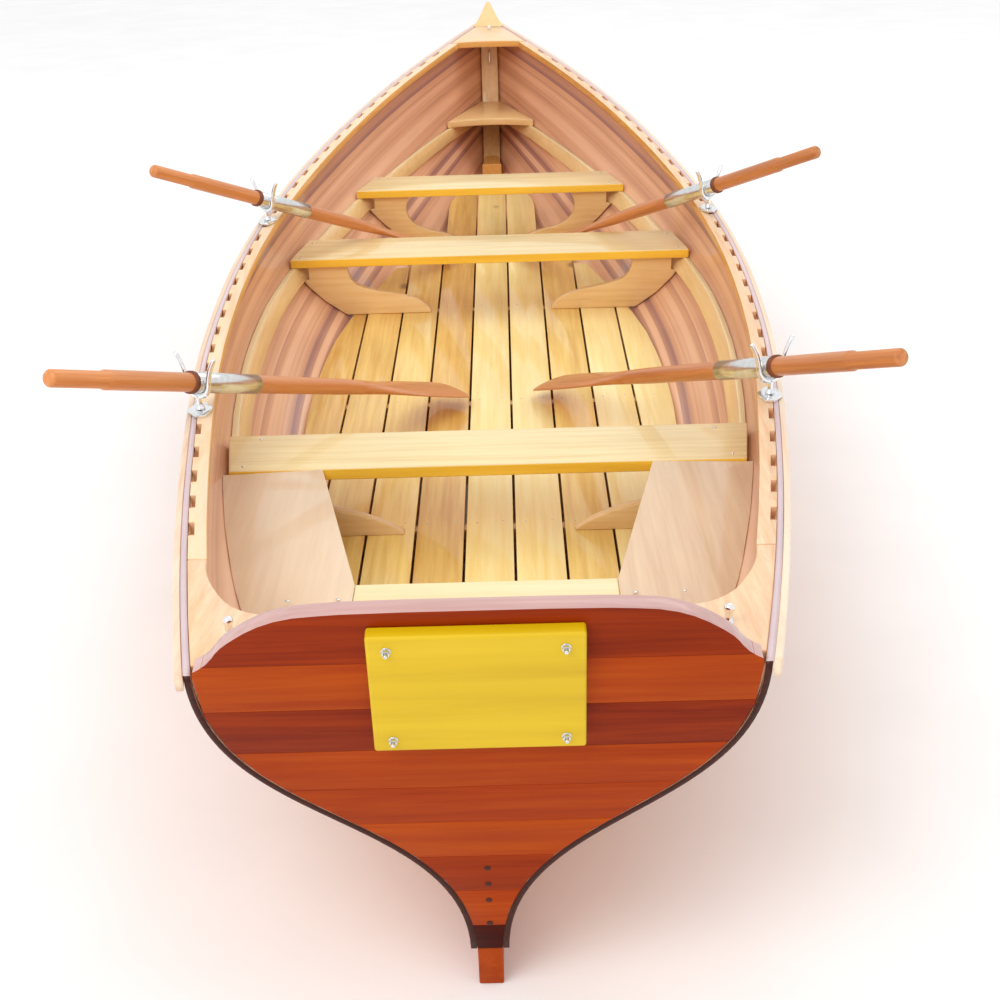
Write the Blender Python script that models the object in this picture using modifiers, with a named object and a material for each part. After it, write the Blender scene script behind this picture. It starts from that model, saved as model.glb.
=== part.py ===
"""Whitehall rowboat in metres, +Y to the bow and +Z up, with its origin at the waterline amidships.

The hull is worked out in its own frame, an empty at the stern end of the base line: y runs forward from
the rails' after ends, and z runs up from the underside of the keel.
"""

import math

import bmesh
import bpy
import numpy as np
from mathutils import Matrix

# Hull frame
MIDSHIP_Y = 2.57
DRAFT = 0.15
GAP = 0.0003

# Outer edge of the rail at seven even steps from the stern to the stem
RAIL_LENGTH = 5.165
RAIL_HALF = (0.422, 0.584, 0.688, 0.701, 0.598, 0.385, 0.0366)
RAIL_HEIGHT = (0.653, 0.569, 0.536, 0.540, 0.578, 0.646, 0.747)

# Skin: control points of a section, from the rabbet to the sheer, at five even steps
PLANK = 0.010
RABBET_X = (0.0305, 0.0290, 0.0215, 0.0215, 0.0240)
RABBET_Z = (0.085, 0.062, 0.055, 0.055, 0.055)
FLOOR_X = (0.033, 0.27, 0.36, 0.145, 0.0240)
FLOOR_Z = (0.385, 0.10, 0.075, 0.080, 0.055)
BILGE_X = (0.41, 0.655, 0.72, 0.445, 0.0240)
BILGE_Z = (0.36, 0.20, 0.205, 0.245, 0.22)
STEM_Y = (4.35, 4.98, 5.14, RAIL_LENGTH)
SKIN_STEPS = 26
SKIN_ROWS = 11

# Stern
RAKE = math.radians(7.24)
TRANSOM_THICK = 0.030
CROWN_X = (0.3955, 0.387, 0.376, 0.366, 0.360, 0.352, 0.342, 0.329, 0.3165, 0.297, 0.275, 0.249, 0.2175, 0.184, 0.1, 0.0)
CROWN_Z = (0.6585, 0.663, 0.671, 0.682, 0.6905, 0.699, 0.707, 0.716, 0.724, 0.734, 0.742, 0.7475, 0.750, 0.7518, 0.753, 0.753)
PAD_HALF = 0.150
PAD_LOW, PAD_HIGH = 0.529, 0.731
PAD_THICK = 0.027
PAD_NUT_X = 0.122
PAD_NUT_Z = (0.550, 0.708)
NUT_RADIUS, NUT_STAND = 0.0075, 0.014
POST_X, POST_Y = 0.366, 0.130
POST_STEM, POST_DOME, POST_TALL = 0.0058, 0.0080, 0.032

# Backbone
KEEL_HALF = 0.020
KEEL_TOP = 0.0655
DEADWOOD = ((1.75, KEEL_TOP), (1.0, 0.100), (0.45, 0.17), (0.20, 0.26))
STEM_THICK = 0.046
STEM_AFT_HALF, STEM_FRONT_HALF = 0.0225, 0.012
KEELSON_HALF, KEELSON_LOW, KEELSON_THICK = 0.036, 0.076, 0.018
KEELSON_Y = (1.80, 4.28)
APRON_HALF, APRON_THICK = 0.036, 0.020
APRON_Z = (0.112, 0.701)

# Rails
OUTWALE_WIDE, OUTWALE_TALL = 0.012, 0.025
INWALE_WIDE, INWALE_TALL, SCUPPER = 0.021, 0.024, 0.011
OUTWALE_FORE = 5.158
INWALE_AFT, INWALE_FORE = 0.44, 4.83
SCUPPER_FIRST, SCUPPER_LAST, SCUPPER_PITCH, SCUPPER_LONG = 0.577, 4.75, 0.1325, 0.063
BREASTHOOK_AFT = 4.835
QUARTER_SPAN = (0.0375, 0.4395)
QUARTER_EDGE_X = (0.446, 0.428, 0.396, 0.362, 0.327, 0.285, 0.250)
QUARTER_EDGE_Y = (0.385, 0.330, 0.262, 0.223, 0.206, 0.200, 0.198)
RISER_THICK, RISER_TALL = 0.016, 0.042
RISER_Y = (0.16, 1.50, 2.78, 3.08, 3.54, 3.80, 4.58, 4.94)
RISER_Z = (0.350, 0.350, 0.362, 0.362, 0.380, 0.380, 0.392, 0.392)

# Seats
SEAT_THICK = 0.028
STERN_THWART = (1.276, 1.475)
MID_THWART = (2.820, 3.040)
FORE_THWART = (3.575, 3.772)
BOW_SEAT_AFT, BOW_SEAT_HOLLOW = 4.625, 0.045
SIDE_SEAT_FORE, SIDE_SEAT_AFT = 0.365, 0.250
AFT_SEAT = (0.075, 0.745)
KNEE_THICK = 0.024
KNEES = {"stern": 1.305, "mid": 2.850, "fore": 3.605}
# Inner edges of the thwart knees as half-breadths and heights, from the thwart round the throat to the tip
KNEE_EDGES = {
    "stern": ((0.410, 0.348), (0.407, 0.322), (0.393, 0.291), (0.353, 0.268), (0.300, 0.254), (0.246, 0.234), (0.194, 0.2035)),
    "mid": ((0.446, 0.361), (0.442, 0.325), (0.418, 0.296), (0.360, 0.277), (0.290, 0.263), (0.228, 0.243), (0.190, 0.2060)),
    "fore": ((0.286, 0.379), (0.301, 0.345), (0.298, 0.308), (0.268, 0.273), (0.215, 0.251), (0.152, 0.235), (0.104, 0.2060)),
}

# Floor
SLAT_PITCH, SLAT_GAP, SLAT_THICK, FLOOR_TOP = 0.1128, 0.006, 0.012, 0.200
SLAT_Y = (0.62, 4.29)
OUTER_SLAT_Y = (0.62, 3.72)
TIMBERS = {"aft": 1.35, "waist": 2.10, "mid": 2.90, "fore": 3.67}
TIMBER_THICK = 0.030

# Rowing gear
LOCKS = {"aft": 1.207, "fore": 2.708}
LOCK_INSET = 0.030
SWING = {("aft", -1): 60.0, ("aft", 1): 64.0, ("fore", -1): 52.0, ("fore", 1): 52.0}
DIP = {"aft": 20.75, "fore": 23.3}
ROLL = 12.0
OUTBOARD = {"aft": 0.429, "fore": 0.445}
OAR_LENGTH = {"aft": 1.525, "fore": 1.375}
LOCK_RISE = 0.068
PLATE_LIFT = 0.0020
PLATE = (0.026, 0.038, 0.006)
PIN_RADIUS, PIN_PLAY = 0.0056, 0.0003
HORN_WIRE, HORN_BEND = 0.0062, 0.0308
LOOM, GRIP, SLEEVE = 0.0205, 0.0175, 0.0222
GRIP_LENGTH, SLEEVE_START, SLEEVE_END, BLADE_LENGTH = 0.149, 0.415, 0.627, 0.465
BLADE_HALF, BLADE_THIN = 0.058, 0.0055

VARNISH_RED = (0.45, 0.09, 0.01)
CEDAR = (0.62, 0.33, 0.20)
PALE_ASH = (0.85, 0.66, 0.42)
SPRUCE = (0.86, 0.72, 0.45)
YELLOW = (0.75, 0.53, 0.02)
ORANGE = (0.62, 0.22, 0.06)
CHROME = (0.80, 0.81, 0.82)


def smooth(values, t):
    """The value at t, from 0 to 1, on a smooth curve through evenly spaced values."""
    v = np.asarray(values, float)
    v = np.concatenate([[3 * v[0] - 3 * v[1] + v[2]], v, [3 * v[-1] - 3 * v[-2] + v[-3]]])
    place = np.clip(t, 0, 1) * (len(values) - 1)
    k = np.clip(place.astype(int), 0, len(values) - 2)
    s = place - k
    a, b, c, d = v[k], v[k + 1], v[k + 2], v[k + 3]
    return b + 0.5 * s * (c - a + s * (2 * a - 5 * b + 4 * c - d + s * (3 * (b - c) + d - a)))


def bezier(controls, u):
    """The cubic Bezier value at u for four controls."""
    a, b, c, d = controls
    w = 1 - u
    return w**3 * a + 3 * w * w * u * b + 3 * w * u * u * c + u**3 * d


def rail_half(y):
    return smooth(RAIL_HALF, np.asarray(y, float) / RAIL_LENGTH)


def rail_height(y):
    return smooth(RAIL_HEIGHT, np.asarray(y, float) / RAIL_LENGTH)


def rail_slant(y):
    """How much longer a level cut across the rail is than a square one."""
    aft, fore = np.maximum(y - 0.005, 0.0), np.minimum(y + 0.005, RAIL_LENGTH)
    return np.sqrt(1 + ((rail_half(fore) - rail_half(aft)) / (fore - aft)) ** 2)


def stern_y(z):
    """The raked plane of the transom's after face."""
    return math.tan(RAKE) * (RAIL_HEIGHT[0] - z)


def row_ends(u):
    """Where a row of the skin starts at the transom and ends at the stem."""
    heights = (RABBET_Z[0], FLOOR_Z[0], BILGE_Z[0], RAIL_HEIGHT[0])
    return stern_y(bezier(heights, u)), bezier(STEM_Y, u)


def skin(t, u):
    """The outer face of the planking, starboard side: x, y and z."""
    sheer_x = smooth(RAIL_HALF, t) - (OUTWALE_WIDE + 2 * GAP) * rail_slant(t * RAIL_LENGTH)
    x = bezier((smooth(RABBET_X, t), smooth(FLOOR_X, t), smooth(BILGE_X, t), sheer_x), u)
    z = bezier((smooth(RABBET_Z, t), smooth(FLOOR_Z, t), smooth(BILGE_Z, t), smooth(RAIL_HEIGHT, t)), u)
    start, end = row_ends(u)
    return x, start + (end - start) * t, z


def planking_faces():
    """Grids of points on the starboard planking's outer and inner faces."""
    t, u = np.meshgrid(np.linspace(0, 1, SKIN_STEPS), np.linspace(0, 1, SKIN_ROWS), indexing="ij")
    outer = np.stack(skin(t, u), axis=-1)
    step = 1e-4
    along = np.stack(skin(np.minimum(t + step, 1), u), -1) - np.stack(skin(np.maximum(t - step, 0), u), -1)
    up = np.stack(skin(t, np.minimum(u + step, 1)), -1) - np.stack(skin(t, np.maximum(u - step, 0)), -1)
    normal = np.cross(along, up)
    normal /= np.linalg.norm(normal, axis=-1, keepdims=True)
    normal *= np.sign(normal[..., :1])
    inner = outer - normal * PLANK
    inner[..., 0] = np.maximum(inner[..., 0], KEEL_HALF + 2 * GAP)
    inner[:, -1] = outer[:, -1]
    inner[:, -1, 0] -= PLANK / normal[:, -1, 0]
    inner[0, :, 1] = stern_y(inner[0, :, 2])
    inner[-1] = outer[-1] - np.array([PLANK, 0.0, 0.0])
    return outer, inner


def inner_half(y, z, inset=2 * GAP):
    """Half-breadth inside the planking at y and height z, less a small inset square to it."""
    step = 0.01
    here = section_half(y, z)
    along = (section_half(y + step, z) - section_half(y - step, z)) / (2 * step)
    up = (section_half(y, z + step) - section_half(y, z - step)) / (2 * step)
    return here - inset * math.sqrt(1 + along**2 + up**2)


def section_half(y, z):
    """Half-breadth of the planking's inner face, read off its own grid."""
    inner = INNER_FACE
    x = [np.interp(y, inner[:, row, 1], inner[:, row, 0]) for row in range(SKIN_ROWS)]
    height = [np.interp(y, inner[:, row, 1], inner[:, row, 2]) for row in range(SKIN_ROWS)]
    return float(np.interp(z, np.maximum.accumulate(height), x))


def inner_floor(y, x, inset=2 * GAP):
    """Height of the planking's inner face at y and half-breadth x."""
    heights = np.linspace(0.07, 0.30, 70)
    halves = np.array([inner_half(y, z, inset) for z in heights])
    return float(np.interp(x, np.maximum.accumulate(halves), heights))


def clear_scene():
    for old in list(bpy.data.objects):
        bpy.data.objects.remove(old, do_unlink=True)


def make_material(name, colour, roughness=0.3, metallic=0.0):
    material = bpy.data.materials.new(name)
    material.use_nodes = True
    shader = material.node_tree.nodes["Principled BSDF"]
    shader.inputs["Base Color"].default_value = (*colour, 1.0)
    shader.inputs["Roughness"].default_value = roughness
    shader.inputs["Metallic"].default_value = metallic
    return material


def add_object(name, data, finish, parent):
    colour, roughness, metallic = finish
    piece = bpy.data.objects.new(name, data)
    data.materials.append(make_material(name, colour, roughness, metallic))
    PARTS.objects.link(piece)
    piece.parent = parent
    return piece


def mesh_from(name, vertices, faces):
    mesh = bpy.data.meshes.new(name)
    mesh.from_pydata([tuple(map(float, v)) for v in vertices], [], faces)
    work = bmesh.new()
    work.from_mesh(mesh)
    bmesh.ops.recalc_face_normals(work, faces=work.faces)
    work.to_mesh(mesh)
    work.free()
    return mesh


def loft(name, rings, finish, parent):
    """A solid through a row of closed rings, each with the same number of points, its ends closed in strips."""
    rings = np.asarray(rings, float)
    count, around = rings.shape[:2]
    faces = []
    for first in (0, (count - 1) * around):
        for j in range(around // 2 - 1):
            faces.append((first + j, first + j + 1, first + around - 2 - j, first + around - 1 - j))
    for i in range(count - 1):
        for j in range(around):
            k = (j + 1) % around
            faces.append((i * around + j, i * around + k, (i + 1) * around + k, (i + 1) * around + j))
    return add_object(name, mesh_from(name, rings.reshape(-1, 3), faces), finish, parent)


def flat_shape(name, outline, thick, finish, parent):
    """A flat outline with its thickness either side of its own plane."""
    curve = bpy.data.curves.new(name, "CURVE")
    curve.dimensions = "2D"
    curve.fill_mode = "BOTH"
    curve.extrude = thick / 2
    spline = curve.splines.new("POLY")
    spline.points.add(len(outline) - 1)
    for point, (x, y) in zip(spline.points, outline):
        point.co = (x, y, 0, 1)
    spline.use_cyclic_u = True
    return add_object(name, curve, finish, parent)


def level_board(name, outline, low, thick, finish, parent):
    """A board that lies level, with its underside at height low."""
    board = flat_shape(name, outline, thick, finish, parent)
    board.location.z = low + thick / 2
    return board


def upright_board(name, outline, middle_y, thick, finish, parent):
    """A board across the boat, from an outline of half-breadths and heights."""
    board = flat_shape(name, outline, thick, finish, parent)
    board.rotation_euler.x = math.pi / 2
    board.location.y = middle_y
    return board


def both_sides(outline):
    """A half outline that starts and ends near the centre line, with its mirror image."""
    return list(outline) + [(-x, z) for x, z in reversed(outline) if x > 0.0]


def make_planking(side, name, hull):
    mirror = np.array([side, 1.0, 1.0])
    rings = np.concatenate([OUTER_FACE * mirror, INNER_FACE[:, ::-1] * mirror], axis=1)
    return loft(name, rings, (CEDAR, 0.3, 0.0), hull)


def make_keel(hull):
    fore = STEM_Y[0] - GAP
    step = RABBET_Z[4] - 2 * GAP
    line = [(stern_y(0.0), 0.0), (fore, 0.0), (fore, step), (fore - 0.20, step), (fore - 0.20, KEEL_TOP)]
    line += list(DEADWOOD)
    aft_gap = TRANSOM_THICK / math.cos(RAKE) + GAP
    top = DEADWOOD[-1][1]
    line += [(stern_y(top) + aft_gap, top), (stern_y(RABBET_Z[0]) + aft_gap, RABBET_Z[0] - 2 * GAP)]
    line += [(stern_y(RABBET_Z[0]), RABBET_Z[0] - 2 * GAP)]
    keel = flat_shape("keel", line, 2 * KEEL_HALF, (VARNISH_RED, 0.25, 0.0), hull)
    keel.rotation_euler = (math.pi / 2, 0, math.pi / 2)
    return keel


def make_stem(hull):
    """The outer stem follows the rabbet, and its head stands above the rails as a small spire."""
    u = np.linspace(0, 1, SKIN_ROWS)
    y, z = bezier(STEM_Y, u), bezier((RABBET_Z[4], FLOOR_Z[4], BILGE_Z[4], RAIL_HEIGHT[-1]), u)
    tangent = np.stack([np.gradient(y), np.gradient(z)], axis=-1)
    tangent /= np.linalg.norm(tangent, axis=-1, keepdims=True)
    out_y, out_z = tangent[:, 1], -tangent[:, 0]
    rings = []
    for i in range(len(u)):
        aft_y, aft_z = y[i] + out_y[i] * GAP * 2, z[i] + out_z[i] * GAP * 2
        deep = STEM_THICK + (RABBET_Z[4] - STEM_THICK) * (1 - u[i]) ** 3
        front_y, front_z = y[i] + out_y[i] * deep, z[i] + out_z[i] * deep
        rings.append([
            (STEM_AFT_HALF, aft_y, aft_z),
            (STEM_FRONT_HALF, front_y, front_z),
            (-STEM_FRONT_HALF, front_y, front_z),
            (-STEM_AFT_HALF, aft_y, aft_z),
        ])
    return loft("stem", rings, (VARNISH_RED, 0.25, 0.0), hull)


def make_stem_head(hull):
    """A cap over the rails' ends, with hollow sides that draw up to a point."""
    front = RAIL_LENGTH + STEM_THICK
    top = RAIL_HEIGHT[-1]
    levels = (
        (0.0, 0.066, 5.060, front - 0.004),
        (0.012, 0.052, 5.086, front - 0.003),
        (0.030, 0.036, 5.120, front - 0.002),
        (0.052, 0.021, 5.148, front),
        (0.070, 0.009, 5.168, front),
    )
    rings = []
    for lift, half, aft, fore in levels:
        nose = min(half, STEM_FRONT_HALF)
        low = min(float(rail_height(aft)), top) + 2 * GAP + lift
        middle = max(aft + 0.01, RAIL_LENGTH)
        waist = min(half, max(nose, half * 0.45))
        side = [(half, aft, low), (waist, middle, top + 2 * GAP + lift), (nose, fore, top - 0.0016 + lift)]
        rings.append(side + [(-x, y, z) for x, y, z in reversed(side)])
    return loft("stem_head", rings, (PALE_ASH, 0.3, 0.0), hull)


def make_keelson(hull):
    right = [(min(KEELSON_HALF, inner_half(y, KEELSON_LOW, 0.0015)), y) for y in np.linspace(*KEELSON_Y, 14)]
    outline = right + [(-x, y) for x, y in reversed(right)]
    return level_board("keelson", outline, KEELSON_LOW, KEELSON_THICK, (PALE_ASH, 0.3, 0.0), hull)


def fore_y(half, z):
    """How far forward the planking's inner face closes in to a half-breadth at height z."""
    y = np.linspace(4.0, 5.15, 70)
    halves = np.array([inner_half(place, z) for place in y])
    return float(np.interp(-half, -halves, y))


def apron_line():
    """The inner stem from the side: rows of its fore face's y and z, then its after face's."""
    z = np.linspace(*APRON_Z, 12)
    y = np.array([fore_y(APRON_HALF - 0.001, height) for height in z])
    along = np.stack([np.gradient(y), np.gradient(z)], axis=-1)
    along /= np.linalg.norm(along, axis=-1, keepdims=True)
    return np.stack([y, z, y - along[:, 1] * APRON_THICK, z + along[:, 0] * APRON_THICK], axis=-1)


def make_apron(hull):
    """The inner stem: a plank that climbs inside the bow from the keelson to the breasthook."""
    rings = []
    for y, z, aft_y, aft_z in apron_line():
        front = min(APRON_HALF, inner_half(y, z, 0.0006))
        aft = min(APRON_HALF, inner_half(aft_y, aft_z, 0.0006))
        rings.append([(front, y, z), (aft, aft_y, aft_z), (-aft, aft_y, aft_z), (-front, y, z)])
    return loft("inner_stem", rings, (PALE_ASH, 0.3, 0.0), hull)


def make_transom(hull):
    """The wineglass stern board, cut to the inside of the planking and crowned above the rails."""
    knots = [z for z in INNER_FACE[0, :, 2] if 0.10 < z < 0.64]
    heights = sorted([*knots, *np.linspace(0.12, 0.40, 8), 0.648])
    half = [(KEEL_HALF, RABBET_Z[0])]
    half += [(max(KEEL_HALF, stern_half(z)), z) for z in heights]
    half += list(zip(CROWN_X, CROWN_Z))
    outline = [(x, (z - RAIL_HEIGHT[0]) / math.cos(RAKE)) for x, z in both_sides(half)]
    board = flat_shape("transom", outline, TRANSOM_THICK, (VARNISH_RED, 0.2, 0.0), hull)
    board.rotation_euler.x = math.pi / 2 + RAKE
    board.location = stern_point(0.0, RAIL_HEIGHT[0], TRANSOM_THICK / 2)
    return board


def stern_half(z):
    """Half-breadth inside the planking on the transom's after face."""
    x, _, height = INNER_FACE[0].T
    slope = np.gradient(x, height)
    aft = float(np.interp(z, height, x - 2 * GAP * np.sqrt(1 + slope**2)))
    return min(aft, inner_half(stern_y(z) + TRANSOM_THICK, z, 0.0024))


def stern_point(x, z, forward):
    """A point on the raked stern, moved forward square to it."""
    return x, stern_y(z) + forward * math.cos(RAKE), z + forward * math.sin(RAKE)


def make_motor_pad(hull):
    tall = (PAD_HIGH - PAD_LOW) / math.cos(RAKE)
    middle = (PAD_LOW + PAD_HIGH) / 2
    bpy.ops.mesh.primitive_cube_add(size=1)
    pad = bpy.context.object
    pad.name = "motor_pad"
    pad.data.transform(Matrix.Diagonal((2 * PAD_HALF, tall, PAD_THICK, 1.0)))
    bevel = pad.modifiers.new("edges", "BEVEL")
    bevel.width = 0.002
    bevel.segments = 1
    settle(pad, (YELLOW, 0.3, 0.0), hull)
    pad.rotation_euler.x = math.pi / 2 + RAKE
    pad.location = stern_point(0.0, middle, -PAD_THICK / 2 - GAP)
    for index, (x, z) in enumerate((sx * PAD_NUT_X, z) for sx in (-1, 1) for z in PAD_NUT_Z):
        nut = make_nut(f"pad_nut_tool_{index}")
        nut.parent = hull
        nut.rotation_euler.x = math.pi / 2 + RAKE
        nut.location = stern_point(x, z, -PAD_THICK - GAP)
        join = pad.modifiers.new(f"nut_{index}", "BOOLEAN")
        join.operation = "UNION"
        join.solver = "EXACT"
        join.object = nut
    return pad


def make_nut(name):
    """A domed cap nut with its foot sunk a little into what it holds."""
    bpy.ops.mesh.primitive_uv_sphere_add(segments=8, ring_count=6, radius=1)
    nut = bpy.context.object
    nut.name = name
    nut.data.transform(Matrix.Diagonal((NUT_RADIUS, NUT_RADIUS, NUT_STAND, 1.0)))
    hide_tool(nut)
    return nut


def hide_tool(piece):
    for collection in list(piece.users_collection):
        collection.objects.unlink(piece)
    TOOLS.objects.link(piece)
    piece.hide_render = True
    piece.display_type = "WIRE"


def settle(piece, finish, parent):
    """Moves a primitive into the boat's own collection and gives it its material."""
    for collection in list(piece.users_collection):
        collection.objects.unlink(piece)
    PARTS.objects.link(piece)
    piece.data.name = piece.name
    piece.data.materials.clear()
    piece.data.materials.append(make_material(piece.name, *finish))
    piece.parent = parent


def rail_edge(y, offset):
    """Half-breadth of a line that runs a set distance inside the rail's outer edge, and the height there."""
    stations = np.linspace(0, 1, SKIN_STEPS) * RAIL_LENGTH
    across = np.interp(y, stations, rail_slant(stations))
    return float(np.interp(y, stations, rail_half(stations)) - offset * across), sheer_height(y)


def sheer_height(y):
    stations = np.linspace(0, 1, SKIN_STEPS) * RAIL_LENGTH
    return float(np.interp(y, stations, rail_height(stations)))


def rail_places(y_low, y_high):
    """The two ends of a rail and the planking's own stations between them."""
    stations = np.linspace(0, 1, SKIN_STEPS) * RAIL_LENGTH
    return [y_low, *(y for y in stations if y_low + 0.02 < y < y_high - 0.02), y_high]


def make_outwale(name, side, hull):
    rings = []
    for y in rail_places(0.0, OUTWALE_FORE):
        out, top = rail_edge(y, 0.0)
        inside, _ = rail_edge(y, OUTWALE_WIDE)
        low = top - OUTWALE_TALL
        rings.append([(side * out, y, top), (side * inside, y, top), (side * inside, y, low), (side * out, y, low)])
    return loft(name, rings, (SPRUCE, 0.3, 0.0), hull)


def scupper_steps():
    """Places along the inwale, each with True where a block reaches out to the planking."""
    steps = [(y, True) for y in (INWALE_AFT, INWALE_FORE)]
    for centre in np.arange(SCUPPER_FIRST, SCUPPER_LAST, SCUPPER_PITCH):
        half = SCUPPER_LONG / 2
        steps += [(centre - half, True), (centre - half + 0.001, False)]
        steps += [(centre + half - 0.001, False), (centre + half, True)]
    return sorted(steps)


def make_inwale(name, side, hull):
    """The inner rail. Blocks on its outer side reach the planking, and the scuppers drain between them."""
    outer = OUTWALE_WIDE + PLANK + 4 * GAP + SCUPPER
    rings = []
    for y, is_block in scupper_steps():
        open_half, top = rail_edge(y, outer)
        inside, _ = rail_edge(y, outer + INWALE_WIDE)
        low = top - INWALE_TALL
        high_half = inner_half(y, top - 0.001, 0.0008) if is_block else open_half
        low_half = inner_half(y, low, 0.0008) if is_block else open_half
        rings.append([
            (side * high_half, y, top), (side * inside, y, top),
            (side * inside, y, low), (side * low_half, y, low),
        ])
    return loft(name, rings, (PALE_ASH, 0.3, 0.0), hull)


def make_riser(name, side, hull):
    """The stringer that carries the seats, against the planking."""
    rings = []
    for y in sorted({*np.linspace(RISER_Y[0], RISER_Y[-1], 36).round(3), *RISER_Y}):
        top = float(np.interp(y, RISER_Y, RISER_Z))
        low = top - RISER_TALL
        out_top, out_low = inner_half(y, top, 0.0008), inner_half(y, low, 0.0008)
        rings.append([
            (side * out_top, y, top), (side * (out_top - RISER_THICK), y, top),
            (side * (out_low - RISER_THICK), y, low), (side * out_low, y, low),
        ])
    return loft(name, rings, (PALE_ASH, 0.3, 0.0), hull)


def seat_low(y):
    return float(np.interp(y, RISER_Y, RISER_Z)) + GAP


def side_edge(y_low, y_high, low, count):
    """Points along the inside of the planking at a board's underside."""
    return [(inner_half(y, low, 0.0012), y) for y in np.linspace(y_low, y_high, count)]


def make_thwart(name, span, hull):
    low = seat_low(sum(span) / 2)
    right = side_edge(*span, low, 5)
    outline = right + [(-x, y) for x, y in reversed(right)]
    return level_board(name, outline, low, SEAT_THICK, (SPRUCE, 0.3, 0.0), hull)


def make_side_seat(name, side, hull):
    low = seat_low(1.0)
    outer = [p for p in side_edge(0.18, STERN_THWART[0] - GAP, low, 18) if p[0] > SIDE_SEAT_AFT + 0.01]
    start = outer[0][1]
    inner = [(SIDE_SEAT_FORE, STERN_THWART[0] - GAP), (SIDE_SEAT_AFT, AFT_SEAT[1]), (SIDE_SEAT_AFT, start)]
    outline = [(side * x, y) for x, y in outer + inner]
    return level_board(name, outline, low, SEAT_THICK, (PALE_ASH, 0.3, 0.0), hull)


def make_bow_seat(hull):
    """The seat in the bow, hollow along its after edge and butted to the inner stem."""
    low = seat_low(BOW_SEAT_AFT)
    _, _, y, z = apron_line().T
    fore = float(np.interp(low, z, y)) - 2 * GAP
    right = side_edge(BOW_SEAT_AFT, fore, low, 7)
    reach = right[0][0]
    hollow = [(reach * a, BOW_SEAT_AFT + BOW_SEAT_HOLLOW * (1 - a * a)) for a in (-0.75, -0.5, -0.25, 0, 0.25, 0.5, 0.75)]
    outline = hollow + right + [(-x, y) for x, y in reversed(right)]
    return level_board("bow_seat", outline, low, SEAT_THICK, (SPRUCE, 0.3, 0.0), hull)


def make_aft_seat(hull):
    low = seat_low(1.0)
    right = [(min(SIDE_SEAT_AFT - 2 * GAP, x), y) for x, y in side_edge(*AFT_SEAT, low, 8)]
    outline = right + [(-x, y) for x, y in reversed(right)]
    return level_board("aft_seat", outline, low, SEAT_THICK, (PALE_ASH, 0.3, 0.0), hull)


def rail_board(name, outline, span, thick, finish, hull):
    """A board whose top lies along the rails between two places, from an outline seen from above."""
    aft, fore = span
    angle = rail_tilt(span)
    board = flat_shape(name, [(x, (y - aft) / math.cos(angle)) for x, y in outline], thick, finish, hull)
    board.rotation_euler.x = angle
    board.location = rail_board_point(0.0, aft, -thick / 2, span)
    return board


def rail_tilt(span):
    return math.atan((float(rail_height(span[1])) - float(rail_height(span[0]))) / (span[1] - span[0]))


def rail_board_point(x, y, above, span):
    """A point over such a board, a set height above its top and square to it."""
    angle = rail_tilt(span)
    top = float(rail_height(span[0])) + (y - span[0]) * math.tan(angle)
    return x, y - above * math.sin(angle), top + above * math.cos(angle)


def board_edge(y_low, y_high, count, span, thick):
    """Points inside the planking along the underside of a board between the rails."""
    points = []
    for y in np.linspace(y_low, y_high, count):
        low = rail_board_point(0.0, y, -thick, span)[2]
        points.append((inner_half(y, low, 0.0018), y))
    return points


def make_breasthook(hull):
    """The flat knee in the bow, with a hollow after edge."""
    span, thick = (BREASTHOOK_AFT, 5.09), 0.026
    right = [(x, y) for x, y in board_edge(*span, 6, span, thick) if x > 0.012]
    corner = right[0][0] * 0.98
    hollow = [(corner * math.sin(a), span[0] + 0.016 * math.cos(a)) for a in np.radians((-60, -30, 0, 30, 60))]
    outline = hollow + right + [(-x, y) for x, y in reversed(right)]
    return rail_board("breasthook", outline, span, thick, (PALE_ASH, 0.3, 0.0), hull)


def make_quarter_knee(name, side, hull):
    """The flat knee between rail and transom, with a hollow inner edge that runs into the inwale's."""
    aft, fore = QUARTER_SPAN
    outer = board_edge(aft, fore, 6, QUARTER_SPAN, 0.024)
    inset = OUTWALE_WIDE + PLANK + 4 * GAP + SCUPPER + INWALE_WIDE
    steps = np.linspace(0, 1, 17)
    across = smooth((rail_edge(fore, inset)[0], *QUARTER_EDGE_X), steps)
    along = smooth((fore, *QUARTER_EDGE_Y), steps)
    hollow = list(zip(across, np.clip(along, aft, fore))) + [(QUARTER_EDGE_X[-1], aft)]
    outline = [(side * x, y) for x, y in outer + hollow]
    return rail_board(name, outline, QUARTER_SPAN, 0.024, (PALE_ASH, 0.3, 0.0), hull)


def make_post(name, side, hull):
    """A bright cap nut on its bolt, standing on the quarter knee."""
    profile = [(0.0, POST_TALL)]
    dome = POST_TALL - POST_DOME
    profile += [(POST_DOME * math.sin(a), dome + POST_DOME * math.cos(a)) for a in np.radians((30, 60, 90, 125))]
    profile += [(POST_STEM, dome - POST_DOME * 0.75), (POST_STEM, 0.0), (0.0, 0.0)]
    post = turned(name, profile, 12)
    settle(post, (CHROME, 0.15, 1.0), hull)
    post.location = rail_board_point(side * POST_X, POST_Y, GAP, QUARTER_SPAN)
    post.rotation_euler.x = rail_tilt(QUARTER_SPAN)
    return post


def turned(name, profile, steps):
    """A round piece from a profile of radius and height, listed from the top down."""
    mesh = bpy.data.meshes.new(name)
    mesh.from_pydata([(r, 0, z) for r, z in profile], [(i, i + 1) for i in range(len(profile) - 1)], [])
    piece = bpy.data.objects.new(name, mesh)
    bpy.context.scene.collection.objects.link(piece)
    screw = piece.modifiers.new("turn", "SCREW")
    screw.steps = steps
    screw.render_steps = steps
    screw.use_merge_vertices = True
    screw.merge_threshold = 0.0001
    return piece


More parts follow.
